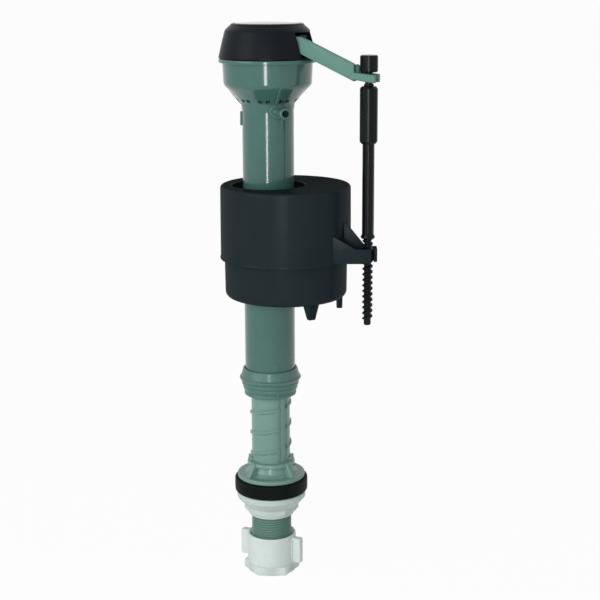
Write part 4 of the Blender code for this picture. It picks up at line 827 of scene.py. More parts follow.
class FILLVALVE_OT_coupling_nut(Operator):
    """Supply coupling nut: round barrel, two wings and a hexagonal foot"""

    bl_idname = "fill_valve.coupling_nut"
    bl_label = "Coupling Nut"

    hex_h: FloatProperty(name="Hexagon height", default=4.9 * MM, unit="LENGTH")

    def execute(self, context):
        s = in_mm(context.scene.fill_valve.nuts)
        low, top = heights("coupling_nut")
        hex_h = self.hex_h / MM
        floor = low + 5.6
        mouth = s.bore_r + 1.2
        nut = turned([(7.0, low, 0.3), (s.barrel_r, low), (s.barrel_r, top, 0.7), (mouth, top, 0.2),
                      (s.bore_r, top - 1.2), (s.bore_r, floor), (7.0, floor)])
        over = s.coupling_hex_r + 0.1
        foot = hexagon(s.coupling_hex_r, low, low + hex_h, 0.7, [
            (0.0, low), (s.barrel_r + 1.3, low), (over, low + 1.6), (over, low + hex_h - 0.9),
            (s.barrel_r + 1.6, low + hex_h), (0.0, low + hex_h)], s.barrel_r - SINK)
        wing_top = top - 1.2
        wing = block((s.barrel_r - 1.0, -s.wing_t / 2, wing_top - 14.6),
                     (s.wing_reach, s.wing_t / 2, wing_top), azimuth=WING_AZIMUTH, edge=0.8)
        web = block((s.barrel_r - 1.0, -s.wing_t / 2 - 0.7, wing_top - 13.8),
                    (s.barrel_r + 0.5, s.wing_t / 2 + 0.7, wing_top - 0.8), azimuth=WING_AZIMUTH,
                    edge=0.45)
        parts = [nut, foot] + copies(wing, [180.0]) + copies(web, [180.0])
        present(gather(parts), "coupling_nut_detail", "coupling_nut", "coupling_nut")
        return {"FINISHED"}


class FILLVALVE_OT_lock_nut(Operator):
    """Lock nut: wide rim, cone, chamfered hexagon and a round nose"""

    bl_idname = "fill_valve.lock_nut"
    bl_label = "Lock Nut"

    def execute(self, context):
        s = in_mm(context.scene.fill_valve.nuts)
        low, top = heights("lock_nut")
        hex_top = top - 7.8
        nose = low + 1.6
        nut = turned([(s.bore_r, low, 0.2), (s.lock_nose_r, low, 0.5), (s.lock_nose_r, hex_top - 1.0),
                      (s.lock_hex_r - 0.4, hex_top), (s.lock_rim_r - 0.6, top - 3.7, 0.3),
                      (s.lock_rim_r, top - 3.2, 0.3), (s.lock_rim_r, top, 0.5), (s.bore_r + 0.8, top, 0.1),
                      (s.bore_r, top - 0.8)])
        over = s.lock_hex_r + 0.1
        foot = hexagon(s.lock_hex_r, nose, hex_top + 0.6, 0.6, [
            (0.0, nose), (s.lock_nose_r + 0.4, nose), (over, nose + 1.6), (over, hex_top + OVER),
            (0.0, hex_top + OVER)], s.lock_nose_r - SINK)
        present(gather([nut, foot]), "lock_nut_detail", "lock_nut", "lock_nut")
        return {"FINISHED"}


class FILLVALVE_OT_shank_washer(Operator):
    """Rubber shank washer with a soft lower edge and a moulding line round its rim"""

    bl_idname = "fill_valve.shank_washer"
    bl_label = "Shank Washer"

    def execute(self, context):
        s = in_mm(context.scene.fill_valve.shank)
        low, top = heights("shank_washer")
        middle = (low + top) / 2 + 0.6
        rim = s.washer_r
        washer = turned([(11.4, low), (rim - 0.15, low, 1.3), (rim, middle - 0.15), (rim - 0.12, middle),
                         (rim, middle + 0.15), (rim - 0.1, top, 0.6), (s.flange_r + 0.3, top, 0.1),
                         (s.flange_r + 0.2, top - 0.25), (11.4, top - 0.25)])
        present(washer, "shank_washer_detail", "washer", "shank_washer")
        return {"FINISHED"}


class FILLVALVE_OT_inlet_shank(Operator):
    """Inlet shank: threaded tail, gusseted hub, stop ring and the tube with its helical ribs"""

    bl_idname = "fill_valve.inlet_shank"
    bl_label = "Inlet Shank"

    def tail(self, s, low):
        """The threaded tail, wound as one surface, trimmed, chamfered and bored."""
        root, crest, pitch = s.tail_root_r, s.tail_r, s.tail_pitch
        flank = 0.3 * pitch
        turns = math.ceil((8.6 - low) / pitch) + 2
        tail = wound([(root, 0.0), (root, 0.18 * pitch), (crest, 0.18 * pitch + flank),
                      (crest, 0.3 * pitch + flank), (root, 0.3 * pitch + 2 * flank), (root, pitch)],
                     pitch, turns, 64, low - pitch)
        trim(tail, low, above=False)
        trim(tail, 8.6, above=True)
        envelope = turned([(0.0, low), (root - 0.3, low), (crest + 0.1, low + 1.4),
                           (crest + 0.1, 9.0), (0.0, 9.0)], closed=False)
        keep(tail, envelope)
        return cut(tail, bar((0, 0, low - OVER), (0, 0, 9.5), 6.5, SMALL_STEPS))

    def hub(self, s, flange_z):
        """Flange, hub cone and stop ring turned in one, with four gussets that frame the panels."""
        hub_z = flange_z + 2.3
        ring_z = hub_z + 5.1
        top = ring_z + 2.4
        core = turned([(6.6, flange_z), (s.flange_r, flange_z, 0.3), (s.flange_r, hub_z, 0.6),
                       (14.6, hub_z, 0.4), (12.4, hub_z + 1.5, 0.5), (11.3, ring_z - 0.2, 0.3),
                       (13.3, ring_z + 0.3, 0.25), (12.9, top - 0.1, 0.5), (s.tube_r + 0.5, top, 0.2),
                       (s.tube_r - SINK, top), (s.tube_r - 1.5, hub_z + 2.0), (6.6, hub_z)])
        gusset = plate([(11.0, hub_z - SINK), (17.5, hub_z - SINK), (17.5, hub_z + 0.9),
                        (13.4, top - 0.3), (11.0, top - 0.2)], 1.2, 45.0, edge=0.35)
        lug = block((s.tube_r - OVER, -3.6, ring_z + SINK), (12.6, 3.6, ring_z + 4.0), edge=0.5)
        return [core] + copies(gusset, [90.0, 180.0, 270.0]) + copies(lug, [180.0])

    def tube(self, s, foot, top):
        """Ribbed tube with its two guide grooves and the rail in each."""
        wall = s.tube_r - 2.0
        tube = turned([(wall, foot - OVER), (s.tube_r, foot - OVER), (s.tube_r, top, 0.7),
                       (wall, top, 0.3)])
        crest = s.tube_r + s.rib_rise
        rib = wound([(s.tube_r - SINK, -1.5), (s.tube_r, -1.25), (crest - 0.25, -0.75), (crest, -0.45),
                     (crest, 0.45), (crest - 0.25, 0.75), (s.tube_r, 1.25), (s.tube_r - SINK, 1.5)],
                    s.rib_pitch, 9, 72, 0.0, closed=True)
        settle(rib, (0.0, 0.0, foot + 3.9), 180.0)
        trim(rib, foot + 103.9, above=True)
        edit(rib)
        bpy.ops.mesh.select_all(action="SELECT")
        bpy.ops.mesh.fill_holes(sides=0)
        done()
        heal(rib)
        groove = block((s.tube_r - 0.7, -3.0, foot + 0.3), (14.2, 3.0, top + OVER), GROOVE_AZIMUTH)
        grooves = gather(copies(groove, [180.0]))
        activate(grooves)
        bpy.ops.object.duplicate(linked=False)
        second = bpy.context.object
        cut(tube, grooves)
        cut(rib, second)
        rail = block((s.tube_r - 1.1, -1.1, foot - 0.3), (s.tube_r - 0.1, 1.1, top - 0.8), GROOVE_AZIMUTH,
                     edge=0.3)
        return [tube, rib] + copies(rail, [180.0])

    def execute(self, context):
        s = in_mm(context.scene.fill_valve.shank)
        low, top = heights("inlet_shank")
        flange_z = 8.3
        foot = flange_z + 2.3 + 5.1 + 2.4
        parts = [self.tail(s, low)] + self.hub(s, flange_z) + self.tube(s, foot, top)
        present(gather(parts), "inlet_shank_detail", "shank", "inlet_shank")
        return {"FINISHED"}


class FILLVALVE_OT_lock_ring(Operator):
    """Lock ring: beaded foot, ridged waist, rounded grip band and the raised setting mark"""

    bl_idname = "fill_valve.lock_ring"
    bl_label = "Lock Ring"

    def execute(self, context):
        s = in_mm(context.scene.fill_valve.body)
        low, top = heights("lock_ring")
        grip = s.ring_r
        bore = 10.95
        inner = s.riser_r + 0.35
        ring = turned([
            (bore + 0.4, low), (13.8, low, 0.4), (14.3, low + 0.6, 0.3), (14.3, low + 1.5, 0.3),
            (13.8, low + 2.0, 0.1), (13.9, low + 2.4, 0.1), (14.8, low + 3.4, 0.4), (15.1, low + 4.8, 0.25),
            (14.75, low + 5.1, 0.1), (14.9, low + 5.4, 0.1), (15.6, low + 6.0, 0.3),
            (15.75, low + 7.2, 0.25), (15.35, low + 7.55, 0.1), (15.5, low + 7.9, 0.1),
            (16.2, low + 8.6, 0.3), (grip - 0.4, low + 9.0, 0.2), (grip, low + 9.6, 0.35),
            (grip - 0.15, low + 10.2, 0.2), (16.0, low + 10.5, 0.1), (16.05, low + 10.9, 0.15),
            (14.95, top - 0.5, 0.2), (14.6, top, 0.15), (inner, top, 0.1), (inner, top - 10.7),
            (bore, top - 11.0), (bore, low + 0.4)])
        mark = plate([(13.2, low + 0.2), (14.9, low + 0.2), (15.2, low + 3.9), (13.2, low + 3.9)], 0.7,
                     MARK_AZIMUTH, edge=0.2)
        present(gather([ring, mark]), "lock_ring_detail", "lock_ring", "lock_ring")
        return {"FINISHED"}


class FILLVALVE_OT_valve_body(Operator):
    """Riser, flared neck and bowl in one, with vents, webs, refill nipple, stop pads and mark"""

    bl_idname = "fill_valve.valve_body"
    bl_label = "Valve Body"

    def shell(self, s, low, top):
        """The turned wall from the riser's foot to the flange and back down inside."""
        bowl_z = top - 14.2
        neck_z = bowl_z - 10.4
        flange_z = top - 2.0
        bead = s.riser_r + 0.65
        outer = [(s.riser_r, low), (s.riser_r, low + 1.4), (bead, low + 1.4, 0.2), (bead, low + 2.9, 0.2),
                 (s.riser_r, low + 2.9), (s.riser_r, neck_z - 2.5)]
        for step in range(1, 11):
            share = step / 10
            outer.append((s.riser_r + (s.neck_r - s.riser_r) * share ** 1.2, neck_z + 10.4 * share))
        outer += [(s.bowl_r - 0.5, bowl_z + 1.3, 0.5), (s.bowl_r, flange_z), (s.flange_r, flange_z, 0.3),
                  (s.flange_r, top, 0.5)]
        bowl_bore = s.bowl_r - 1.8
        inner = [(bowl_bore, top, 0.2), (bowl_bore, flange_z - 8.6), (bowl_bore - 2.5, flange_z - 8.6),
                 (bowl_bore - 2.5, bowl_z + 1.5)]
        wall = s.riser_wall
        inner += [(s.neck_r - wall - 2.2, bowl_z - 1.6), (s.riser_r - wall + 3.6, neck_z + 6.2),
                  (s.riser_r - wall, neck_z + 0.9), (s.riser_r - wall, low)]
        return turned(outer + inner)

    def nipple(self, s, centre_z):
        """Refill nipple with a barb near its mouth, its boss and the short rib under it."""
        out = direction(NIPPLE_AZIMUTH)
        centre = Vector((0.0, 0.0, centre_z))
        root = centre + out * (s.riser_r - 0.8)
        pipe = bar(root, centre + out * (s.nipple_reach - 1.0), s.nipple_r - 0.7, 48, edge=0.3)
        barb = bar(centre + out * (s.nipple_reach - 2.4), centre + out * s.nipple_reach, s.nipple_r, 48,
                   edge=0.35)
        boss = bar(root, centre + out * (s.riser_r + 1.4), 4.2, 48, edge=0.5)
        rib = plate([(s.riser_r - OVER, centre_z - 9.2), (s.riser_r + OVER, centre_z - 9.2),
                     (s.riser_r + OVER, centre_z - 1.8), (s.riser_r - OVER, centre_z - 1.8)], 0.6, -59.0,
                    edge=0.25)
        return [pipe, barb, boss, rib]

    def execute(self, context):
        s = in_mm(context.scene.fill_valve.body)
        low, top = heights("valve_body")
        bowl_z = top - 14.2
        neck_z = bowl_z - 10.4
        body = self.shell(s, low, top)
        pair = [block((s.riser_r - 2.2, low_y, neck_z + 2.5), (24.0, low_y + 2.3, neck_z + 4.1), -96.0)
                for low_y in (-3.0, 0.9)]
        cut(body, gather(copies(gather(pair), [40.0 * index for index in range(1, 9)])))
        nipple = self.nipple(s, neck_z - 2.0)
        out = direction(NIPPLE_AZIMUTH)
        mouth = Vector((0.0, 0.0, neck_z - 2.0)) + out * (s.nipple_reach + OVER)
        for part in [body] + nipple[:3]:
            inside = Vector((0.0, 0.0, neck_z - 2.0)) + out * (s.riser_r - s.riser_wall - OVER)
            cut(part, bar(inside, mouth, 1.85, 32))
        web = plate([(s.riser_r - OVER, neck_z + 0.5), (s.riser_r + 1.2, neck_z + 0.5),
                     (s.neck_r + 1.2, bowl_z + 0.5), (s.neck_r - 0.5, bowl_z + 2.1),
                     (s.neck_r - 1.5, bowl_z + 2.1)], 0.6, -72.0, edge=0.3)
        pad = block((s.riser_r - OVER, -4.0, neck_z - 10.4), (s.riser_r + 0.6, 4.0, neck_z - 3.0), 48.0,
                    edge=0.4)
        mark_z = heights("lock_ring")[1] + 0.8
        mark = plate([(s.riser_r - 0.5, mark_z), (s.riser_r + 0.4, mark_z), (s.riser_r + 0.4, mark_z + 4.5),
                      (s.riser_r - 0.5, mark_z + 4.5)], 0.6, MARK_AZIMUTH, edge=0.15)
        key = block((10.2, 1.45, low), (s.riser_r - s.riser_wall + 0.5, 2.65, low + 5.0), GROOVE_AZIMUTH)
        parts = [body] + nipple + copies(web, [120.0, 240.0]) + copies(pad, [120.0]) + copies(key, [180.0])
        present(gather(parts + [mark]), "valve_body_detail", "riser", "valve_body")
        return {"FINISHED"}


class FILLVALVE_OT_cap(Operator):
    """Conical cap with its shoulder, raised disc, lever slot and bearing ears"""

    bl_idname = "fill_valve.cap"
    bl_label = "Cap"

    def execute(self, context):
        s = in_mm(context.scene.fill_valve.top)
        low, top = heights("cap")
        base = top - 18.4
        fit = 21.7
        cap = turned([
            (0.0, top), (9.0, top - 0.15), (17.2, top - 0.55, 0.15), (17.5, top - 0.95, 0.1),
            (18.0, top - 0.95, 0.1), (18.3, top - 0.6, 0.15), (18.9, top - 0.75, 0.25),
            (19.2, top - 1.4, 0.2), (s.cap_shoulder_r - 0.5, base + 14.9, 0.5),
            (s.cap_shoulder_r + 0.1, base + 14.2, 0.35), (s.cap_r - 1.75, base + 8.3),
            (s.cap_r - 0.1, base + 1.1, 0.1), (s.cap_r, base + 0.9, 0.1), (s.cap_r, base, 0.2),
            (fit, base), (fit, low), (fit - 1.5, low), (fit - 1.5, base + 1.2), (s.cap_r - 1.6, base + 1.2),
            (s.cap_r - 3.35, base + 8.3), (s.cap_shoulder_r - 1.6, base + 13.2), (16.0, top - 2.4),
            (0.0, top - 2.4)], closed=False)
        slot = block((18.4, -11.1, base + 1.2), (s.cap_r + OVER, 11.1, base + 13.5), LEVER_AZIMUTH, edge=0.5)
        cut(cap, slot)
        parts = [cap]
        pivot_z = base + 7.4
        ears = ((10.4, 12.5, 9.9, 12.5), (-12.5, -10.4, -12.5, -9.9))
        for near, far, hole_near, hole_far in ears:
            ear = block((12.9, near, pivot_z - 3.0), (18.1, far, base + 14.0), edge=0.3)
            cut(ear, bar((PIVOT_REACH, hole_near, pivot_z), (PIVOT_REACH, hole_far, pivot_z), 2.0, 32))
            parts.append(settle(ear, azimuth=LEVER_AZIMUTH))
        present(gather(parts), "cap_detail", "riser", "cap")
        return {"FINISHED"}


class FILLVALVE_OT_lever(Operator):
    """Float lever: root with trunnions and finger, sloping channel and the fork at the rod"""

    bl_idname = "fill_valve.lever"
    bl_label = "Lever"

    slope: FloatProperty(name="Slope", default=math.radians(27.0), subtype="ANGLE")
    tilt: FloatProperty(name="Fork tilt", default=math.radians(5.0), subtype="ANGLE")

    def execute(self, context):
        s = in_mm(context.scene.fill_valve.top)
        pivot_z = heights("cap")[1] - 11.0
        rod_reach = math.hypot(*ROD_CENTRE)
        bend = rod_reach - s.rod_head_r - 1.9
        neck = 22.0
        slope, tilt = math.tan(self.slope), math.tan(self.tilt)
        fork_z = pivot_z - FORK_DROP
        start = bend - 3.0
        start_z = fork_z - 2.1 - tilt * (start - rod_reach) + 0.9

        def half(reach):
            return s.lever_half_w + (s.lever_tip_half_w - s.lever_half_w) * (reach - neck) / (bend - neck)

        def floor(reach):
            return start_z + slope * (start - reach)

        def fork(reach):
            return fork_z - tilt * (reach - rod_reach)

        neck_top = pivot_z + 4.0
        depth = 9.0
        lever = plate([(neck, floor(neck)), (bend, floor(bend)), (bend, floor(bend) + depth),
                       (neck + 5.0, floor(neck + 5.0) + depth), (neck, neck_top)], half, edge=0.45)
        root_low = pivot_z - 3.0
        root_run = (root_low - floor(neck)) / slope
        root_half = 10.1
        root = plate([(12.8, root_low), (neck - root_run - OVER, root_low), (neck + 0.5, floor(neck + 0.5)),
                      (neck + 0.5, neck_top - 0.05), (15.5, neck_top), (12.8, pivot_z + 3.0)], root_half,
                     edge=0.35)
        add(lever, root)
        inner = neck + s.lever_wall
        end = bend + OVER
        high = neck_top + depth
        cut(lever, plate([(inner, floor(inner) + 2.0), (end, floor(end) + 2.0), (end, high), (inner, high)],
                         lambda reach: half(reach) - s.lever_wall, edge=0.3))
        cut(lever, plate([(14.6, root_low + 2.1), (inner + 0.05, root_low + 2.1), (inner + 0.05, high),
                          (14.6, high)], root_half - s.lever_wall))
        self.lean(lever, lambda reach: floor(reach) + depth, half, neck - 4.0)
        middle = (neck + bend) / 2
        rib = plate([(middle, floor(middle) + 0.5), (middle + 1.4, floor(middle + 1.4) + 0.5),
                     (middle + 1.4, floor(middle) + 5.4), (middle, floor(middle) + 5.4)],
                    lambda reach: half(reach) - 0.9, edge=0.2)
        tip = rod_reach + 4.7
        slab = plate([(start, floor(start)), (rod_reach, fork_z - 2.1), (tip, fork(tip) - 2.1),
                      (tip, fork(tip) + 2.1), (start, fork(start) + 2.1)], 5.05, edge=0.7)
        slot_end = rod_reach - 2.35 - math.sin(math.radians(SWING)) * FORK_DROP
        cut(slab, block((slot_end, -2.35, fork_z - 6.0), (tip + OVER, 2.35, fork_z + 6.0)))
        for rise in (-1.15, 0.0, 1.15):
            ridge_z = fork(tip) + rise
            cut(slab, block((tip - 0.45, 2.2, ridge_z - 0.3), (tip + OVER, 5.3, ridge_z + 0.3)))
        post = plate([(bend - 0.2, fork(bend) + 1.5), (bend + 1.6, fork(bend) + 1.5),
                      (bend + 1.2, fork(bend) + 5.6), (bend - 0.2, fork(bend) + 6.2)], 1.6, edge=0.3)
        parts = [lever, rib, slab, post]
        for side in (-1, 1):
            parts.append(bar((PIVOT_REACH, side * (root_half - OVER), pivot_z),
                             (PIVOT_REACH, side * (root_half + 2.2), pivot_z), 1.7, 32, edge=0.3))
        finger = self.finger(pivot_z)
        whole = gather(parts)
        settle(whole, azimuth=LEVER_AZIMUTH)
        present(gather([whole, finger]), "lever_detail", "lever", "lever_arm")
        return {"FINISHED"}

    def lean(self, lever, top, half, start, cant=0.27, crest=2.0):
        """Bisect the channel along a plane that leans from the front wall's top down to the back."""
        front = Vector((start, -half(start) + crest, top(start)))
        along = Vector((start + 10.0, -half(start + 10.0) + crest, top(start + 10.0))) - front
        across = Vector((0.0, 1.0, -cant))
        high = Vector((start + 3.0, 0.0, top(start + 3.0) + 20.0))
        wedge = block((start, -20.0, top(start) - 20.0), (start + 60.0, 20.0, high.z))
        edit(wedge)
        bpy.ops.mesh.select_all(action="SELECT")
        bpy.ops.mesh.bisect(plane_co=front * MM, plane_no=along.cross(across).normalized(), use_fill=True,
                            clear_inner=True)
        done()
        cut(lever, heal(wedge))

    def finger(self, pivot_z):
        """Pilot finger over the nozzle, laid level and then turned down by the lever's swing."""
        solid_low = heights("pilot_seal")[0]
        finger = plate([(-2.8, solid_low + 2.0), (13.8, solid_low + 2.0), (13.8, solid_low + 4.0),
                        (-2.8, solid_low + 4.0)], 2.8, edge=0.25)
        activate(finger)
        turn = Matrix.Rotation(math.radians(-SWING), 4, "Y")
        pivot = Matrix.Translation(Vector((PIVOT_REACH, 0.0, pivot_z)) * MM)
        finger.matrix_world = pivot @ turn.inverted() @ pivot.inverted()
        bpy.ops.object.transform_apply(location=True, rotation=True, scale=True)
        return settle(finger, azimuth=LEVER_AZIMUTH)


class FILLVALVE_OT_adjusting_rod(Operator):
    """Adjusting rod: knurled head, waisted neck, fluted barrel, grooved shaft and coarse thread"""

    bl_idname = "fill_valve.adjusting_rod"
    bl_label = "Adjusting Rod"

    def fluted(self, outline, steps, share, depth, span):
        """Turn a round piece and sink every second strip of its side faces within a height span."""
        part = turned(outline, steps, closed=False, segments=2)
        edit(part)
        strip = 360.0 / steps

        def in_flute(here, normal):
            azimuth = math.degrees(math.atan2(here.y, here.x)) % 360.0
            return (abs(normal.z) < 0.2 and span[0] < here.z < span[1]
                    and int(azimuth / strip) % share >= share // 2)

        pick(part, "FACE", in_flute)
        bpy.ops.mesh.extrude_region_shrink_fatten(TRANSFORM_OT_shrink_fatten={"value": -depth * MM})
        done()
        return part

    def execute(self, context):
        s = in_mm(context.scene.fill_valve.top)
        low, top = heights("adjusting_rod")
        head_z = top - 8.6
        neck_z = head_z - 7.2
        barrel_z = neck_z - 29.4
        shaft_z = barrel_z - 47.5
        flare_z = shaft_z - 2.2
        tip_z = low + 3.4
        head = self.fluted([(0.0, head_z), (s.rod_head_r - 0.5, head_z), (s.rod_head_r, head_z + 0.5),
                            (s.rod_head_r, top - 0.5), (s.rod_head_r - 0.5, top), (0.0, top)],
                           60, 6, 0.3, (head_z + 0.5, top - 0.5))
        neck = turned([(0.0, neck_z - OVER), (2.0, neck_z - OVER), (2.0, head_z + OVER),
                       (0.0, head_z + OVER)], 32, closed=False)
        bead = turned([(0.0, neck_z), (2.6, neck_z, 0.3), (2.6, neck_z + 1.2, 0.4), (0.0, neck_z + 1.2)], 32,
                      closed=False, segments=2)
        barrel = self.fluted([(0.0, barrel_z), (3.8, barrel_z), (s.rod_barrel_r, barrel_z + 1.2),
                              (s.rod_barrel_r, neck_z - 1.2), (3.8, neck_z), (0.0, neck_z)],
                             60, 6, 0.22, (barrel_z + 1.2, neck_z - 1.2))
        shaft = self.fluted([(0.0, shaft_z), (s.rod_shaft_r, shaft_z), (s.rod_shaft_r, barrel_z + OVER),
                             (0.0, barrel_z + OVER)], 48, 12, 0.35, (shaft_z, barrel_z + OVER))
        flare = turned([(0.0, flare_z), (3.5, flare_z, 0.2), (3.8, shaft_z - 1.3, 0.2),
                        (s.rod_shaft_r, shaft_z), (0.0, shaft_z + OVER)], 48, closed=False, segments=2)
        root, crest, pitch = 1.9, s.rod_thread_r, s.rod_pitch
        thread = wound([(root, 0.0), (root, 0.45), (crest - 0.1, 1.1), (crest, 1.25), (crest, 1.75),
                        (crest - 0.1, 1.9), (root, 2.55), (root, pitch)], pitch, 16, 36, tip_z - pitch)
        trim(thread, tip_z - 0.2, above=False)
        trim(thread, flare_z + OVER, above=True)
        tip = turned([(0.0, low), (root - 0.4, low), (root, low + 0.5), (root, tip_z + OVER),
                      (0.0, tip_z + OVER)], 32, closed=False)
        rod = gather([head, neck, bead, barrel, shaft, flare, thread, tip])
        settle(rod, (*ROD_CENTRE, 0.0))
        present(rod, "adjusting_rod_detail", "rod", "adjusting_rod")
        return {"FINISHED"}


class FILLVALVE_OT_float_shell(Operator):
    """Upper float cup: pocket and sleeve round the riser, and the gusseted arm that clips the rod"""

    bl_idname = "fill_valve.float_shell"
    bl_label = "Float Shell"

    def arm_wall(self, s, inner_y, outer_y, end, rise, arm_z, arm_top):
        """One wall of the arm with its gusset on the float, between two Y planes."""
        middle, half_t = (inner_y + outer_y) / 2, abs(outer_y - inner_y) / 2
        start = FLOAT_CENTRE[0] + math.sqrt(s.rim_r ** 2 - middle ** 2) - 1.6
        wall = plate([(start, arm_z), (end, arm_z), (end, arm_top), (start + 12.0, arm_top),
                      (start + 1.4, arm_top + rise), (start, arm_top + rise)], half_t, edge=0.35)
        return settle(wall, (0.0, middle, 0.0))

    def arm(self, s, arm_z, arm_top):
        """Two walls, a floor, the clip round the rod and the tab that a finger lifts."""
        rod_x, rod_y = ROD_CENTRE
        front, back = rod_y - s.arm_gap / 2, rod_y + s.arm_gap / 2
        tab_x = rod_x + 5.0
        near = self.arm_wall(s, front, front - 1.9, rod_x + 1.6, 6.7, arm_z, arm_top)
        far = self.arm_wall(s, back, back + 1.9, tab_x, 13.0, arm_z, arm_top)
        root = FLOAT_CENTRE[0] + math.sqrt(s.rim_r ** 2 - front ** 2) - 1.6
        floor = block((root, front - 0.4, arm_z), (rod_x - 5.4, back + 0.4, arm_z + 1.6), edge=0.2)
        clip = block((rod_x - 3.9, front - 0.5, arm_z + 0.5), (rod_x + 1.7, back + 0.5, arm_top - 0.9),
                     edge=0.4)
        cut(clip, bar((rod_x, rod_y, arm_z - OVER), (rod_x, rod_y, arm_top + OVER), 3.1, 40))
        tab = block((tab_x - 1.8, rod_y - 1.0, arm_z + 0.2), (tab_x, back + 1.9, arm_top - 0.2), edge=0.5)
        ridge = block((tab_x - 1.0, rod_y - 0.6, arm_z + 1.2), (tab_x, back + 1.5, arm_z + 1.7), edge=0.12)
        lip = block((rod_x - 14.0, front - 2.05, arm_top - 1.1), (rod_x + 1.6, front - 1.4, arm_top - 0.5),
                    edge=0.15)
        return [near, far, floor, clip, tab, ridge, lip]

    def execute(self, context):
        s = in_mm(context.scene.fill_valve.float_cup)
        top = heights("float_shell")[1]
        step = top - 39.5
        roof = top - s.wall
        shell = turned([(s.rim_r - s.wall, step), (s.rim_r, step, 0.25), (s.rim_r, step + 0.8, 0.35),
                        (s.rim_r - 0.3, step + 1.3, 0.2), (s.top_r, top, 1.6), (0.0, top),
                        (0.0, roof), (s.top_r - s.wall, roof)], FLOAT_STEPS, FLOAT_CENTRE, segments=6)
        sleeve_bore = 14.3
        sleeve = sleeve_bore + 1.5
        sleeve_low = heights("float_shell")[0]
        pocket_z = top - 14.0
        well = turned([(sleeve_bore, sleeve_low, 0.2), (sleeve, sleeve_low, 0.2), (sleeve, pocket_z - s.wall),
                       (s.pocket_r + s.wall, pocket_z - s.wall), (s.pocket_r + s.wall, roof + 0.9),
                       (s.pocket_r, roof + 0.9), (s.pocket_r, pocket_z), (sleeve_bore, pocket_z, 0.3)])
        cut(shell, turned([(0.0, roof - OVER), (s.pocket_r, roof - OVER), (s.pocket_r, top - 0.6),
                           (s.pocket_r + 0.7, top + 0.1), (s.pocket_r + 0.7, top + OVER),
                           (0.0, top + OVER)], closed=False))
        cut(shell, block((23.0, 17.0, top - 0.9), (29.6, 19.0, top + OVER), edge=0.2))
        arm_z, arm_top = step + 0.8, step + 0.8 + 7.8
        parts = [shell, well] + self.arm(s, arm_z, arm_top)
        present(gather(parts), "float_shell_detail", "float", "float_shell")
        return {"FINISHED"}


class FILLVALVE_OT_float_base(Operator):
    """Lower float cup with its rounded floor and two tapered, grooved pegs"""

    bl_idname = "fill_valve.float_base"
    bl_label = "Float Base"

    def peg(self, azimuth, low):
        """One tapered peg with two grooves down its front."""
        centre = Vector((*FLOAT_CENTRE, 0.0)) + direction(azimuth) * 29.0
        peg = plate([(-4.3, low + 0.8), (4.3, low + 0.8), (1.8, low - 7.8), (-1.8, low - 7.8)], 1.5, edge=0.3)
        for side in (-1, 1):
            groove = plate([(side * 0.7 - 0.3, low + 2.0), (side * 0.7 + 0.3, low + 2.0),
                            (side * 0.7 + 0.3, low - 7.0), (side * 0.7 - 0.3, low - 7.0)], 0.5)
            cut(peg, settle(groove, (0.0, -1.5, 0.0)))
        settle(peg, azimuth=azimuth + 90.0)
        return settle(peg, centre)

    def execute(self, context):
        s = in_mm(context.scene.fill_valve.float_cup)
        top = heights("float_base")[1]
        low = top - 25.0
        wall = 1.6
        hole = 16.1
        base = turned([(hole, low, 0.2), (s.base_r - 0.3, low, 3.0), (s.base_r, top, 0.2),
                       (s.base_r - wall, top), (s.base_r - wall - 0.3, low + wall, 2.0),
                       (hole, low + wall)], FLOAT_STEPS, FLOAT_CENTRE, segments=8)
        self.fit(base, low)
        parts = [base] + [self.peg(azimuth, low) for azimuth in (-62.7, 3.0)]
        present(gather(parts), "float_base_detail", "float", "float_base")
        return {"FINISHED"}

    def fit(self, base, low):
        """Close the floor round the riser's sleeve, whose axis is not the float's."""
        add(base, turned([(0.0, low), (24.0, low), (24.0, low + 1.6), (0.0, low + 1.6)], LARGE_STEPS,
                         FLOAT_CENTRE, closed=False))
        cut(base, bar((0, 0, low - OVER), (0, 0, low + 1.6 + OVER), 16.1, LARGE_STEPS))


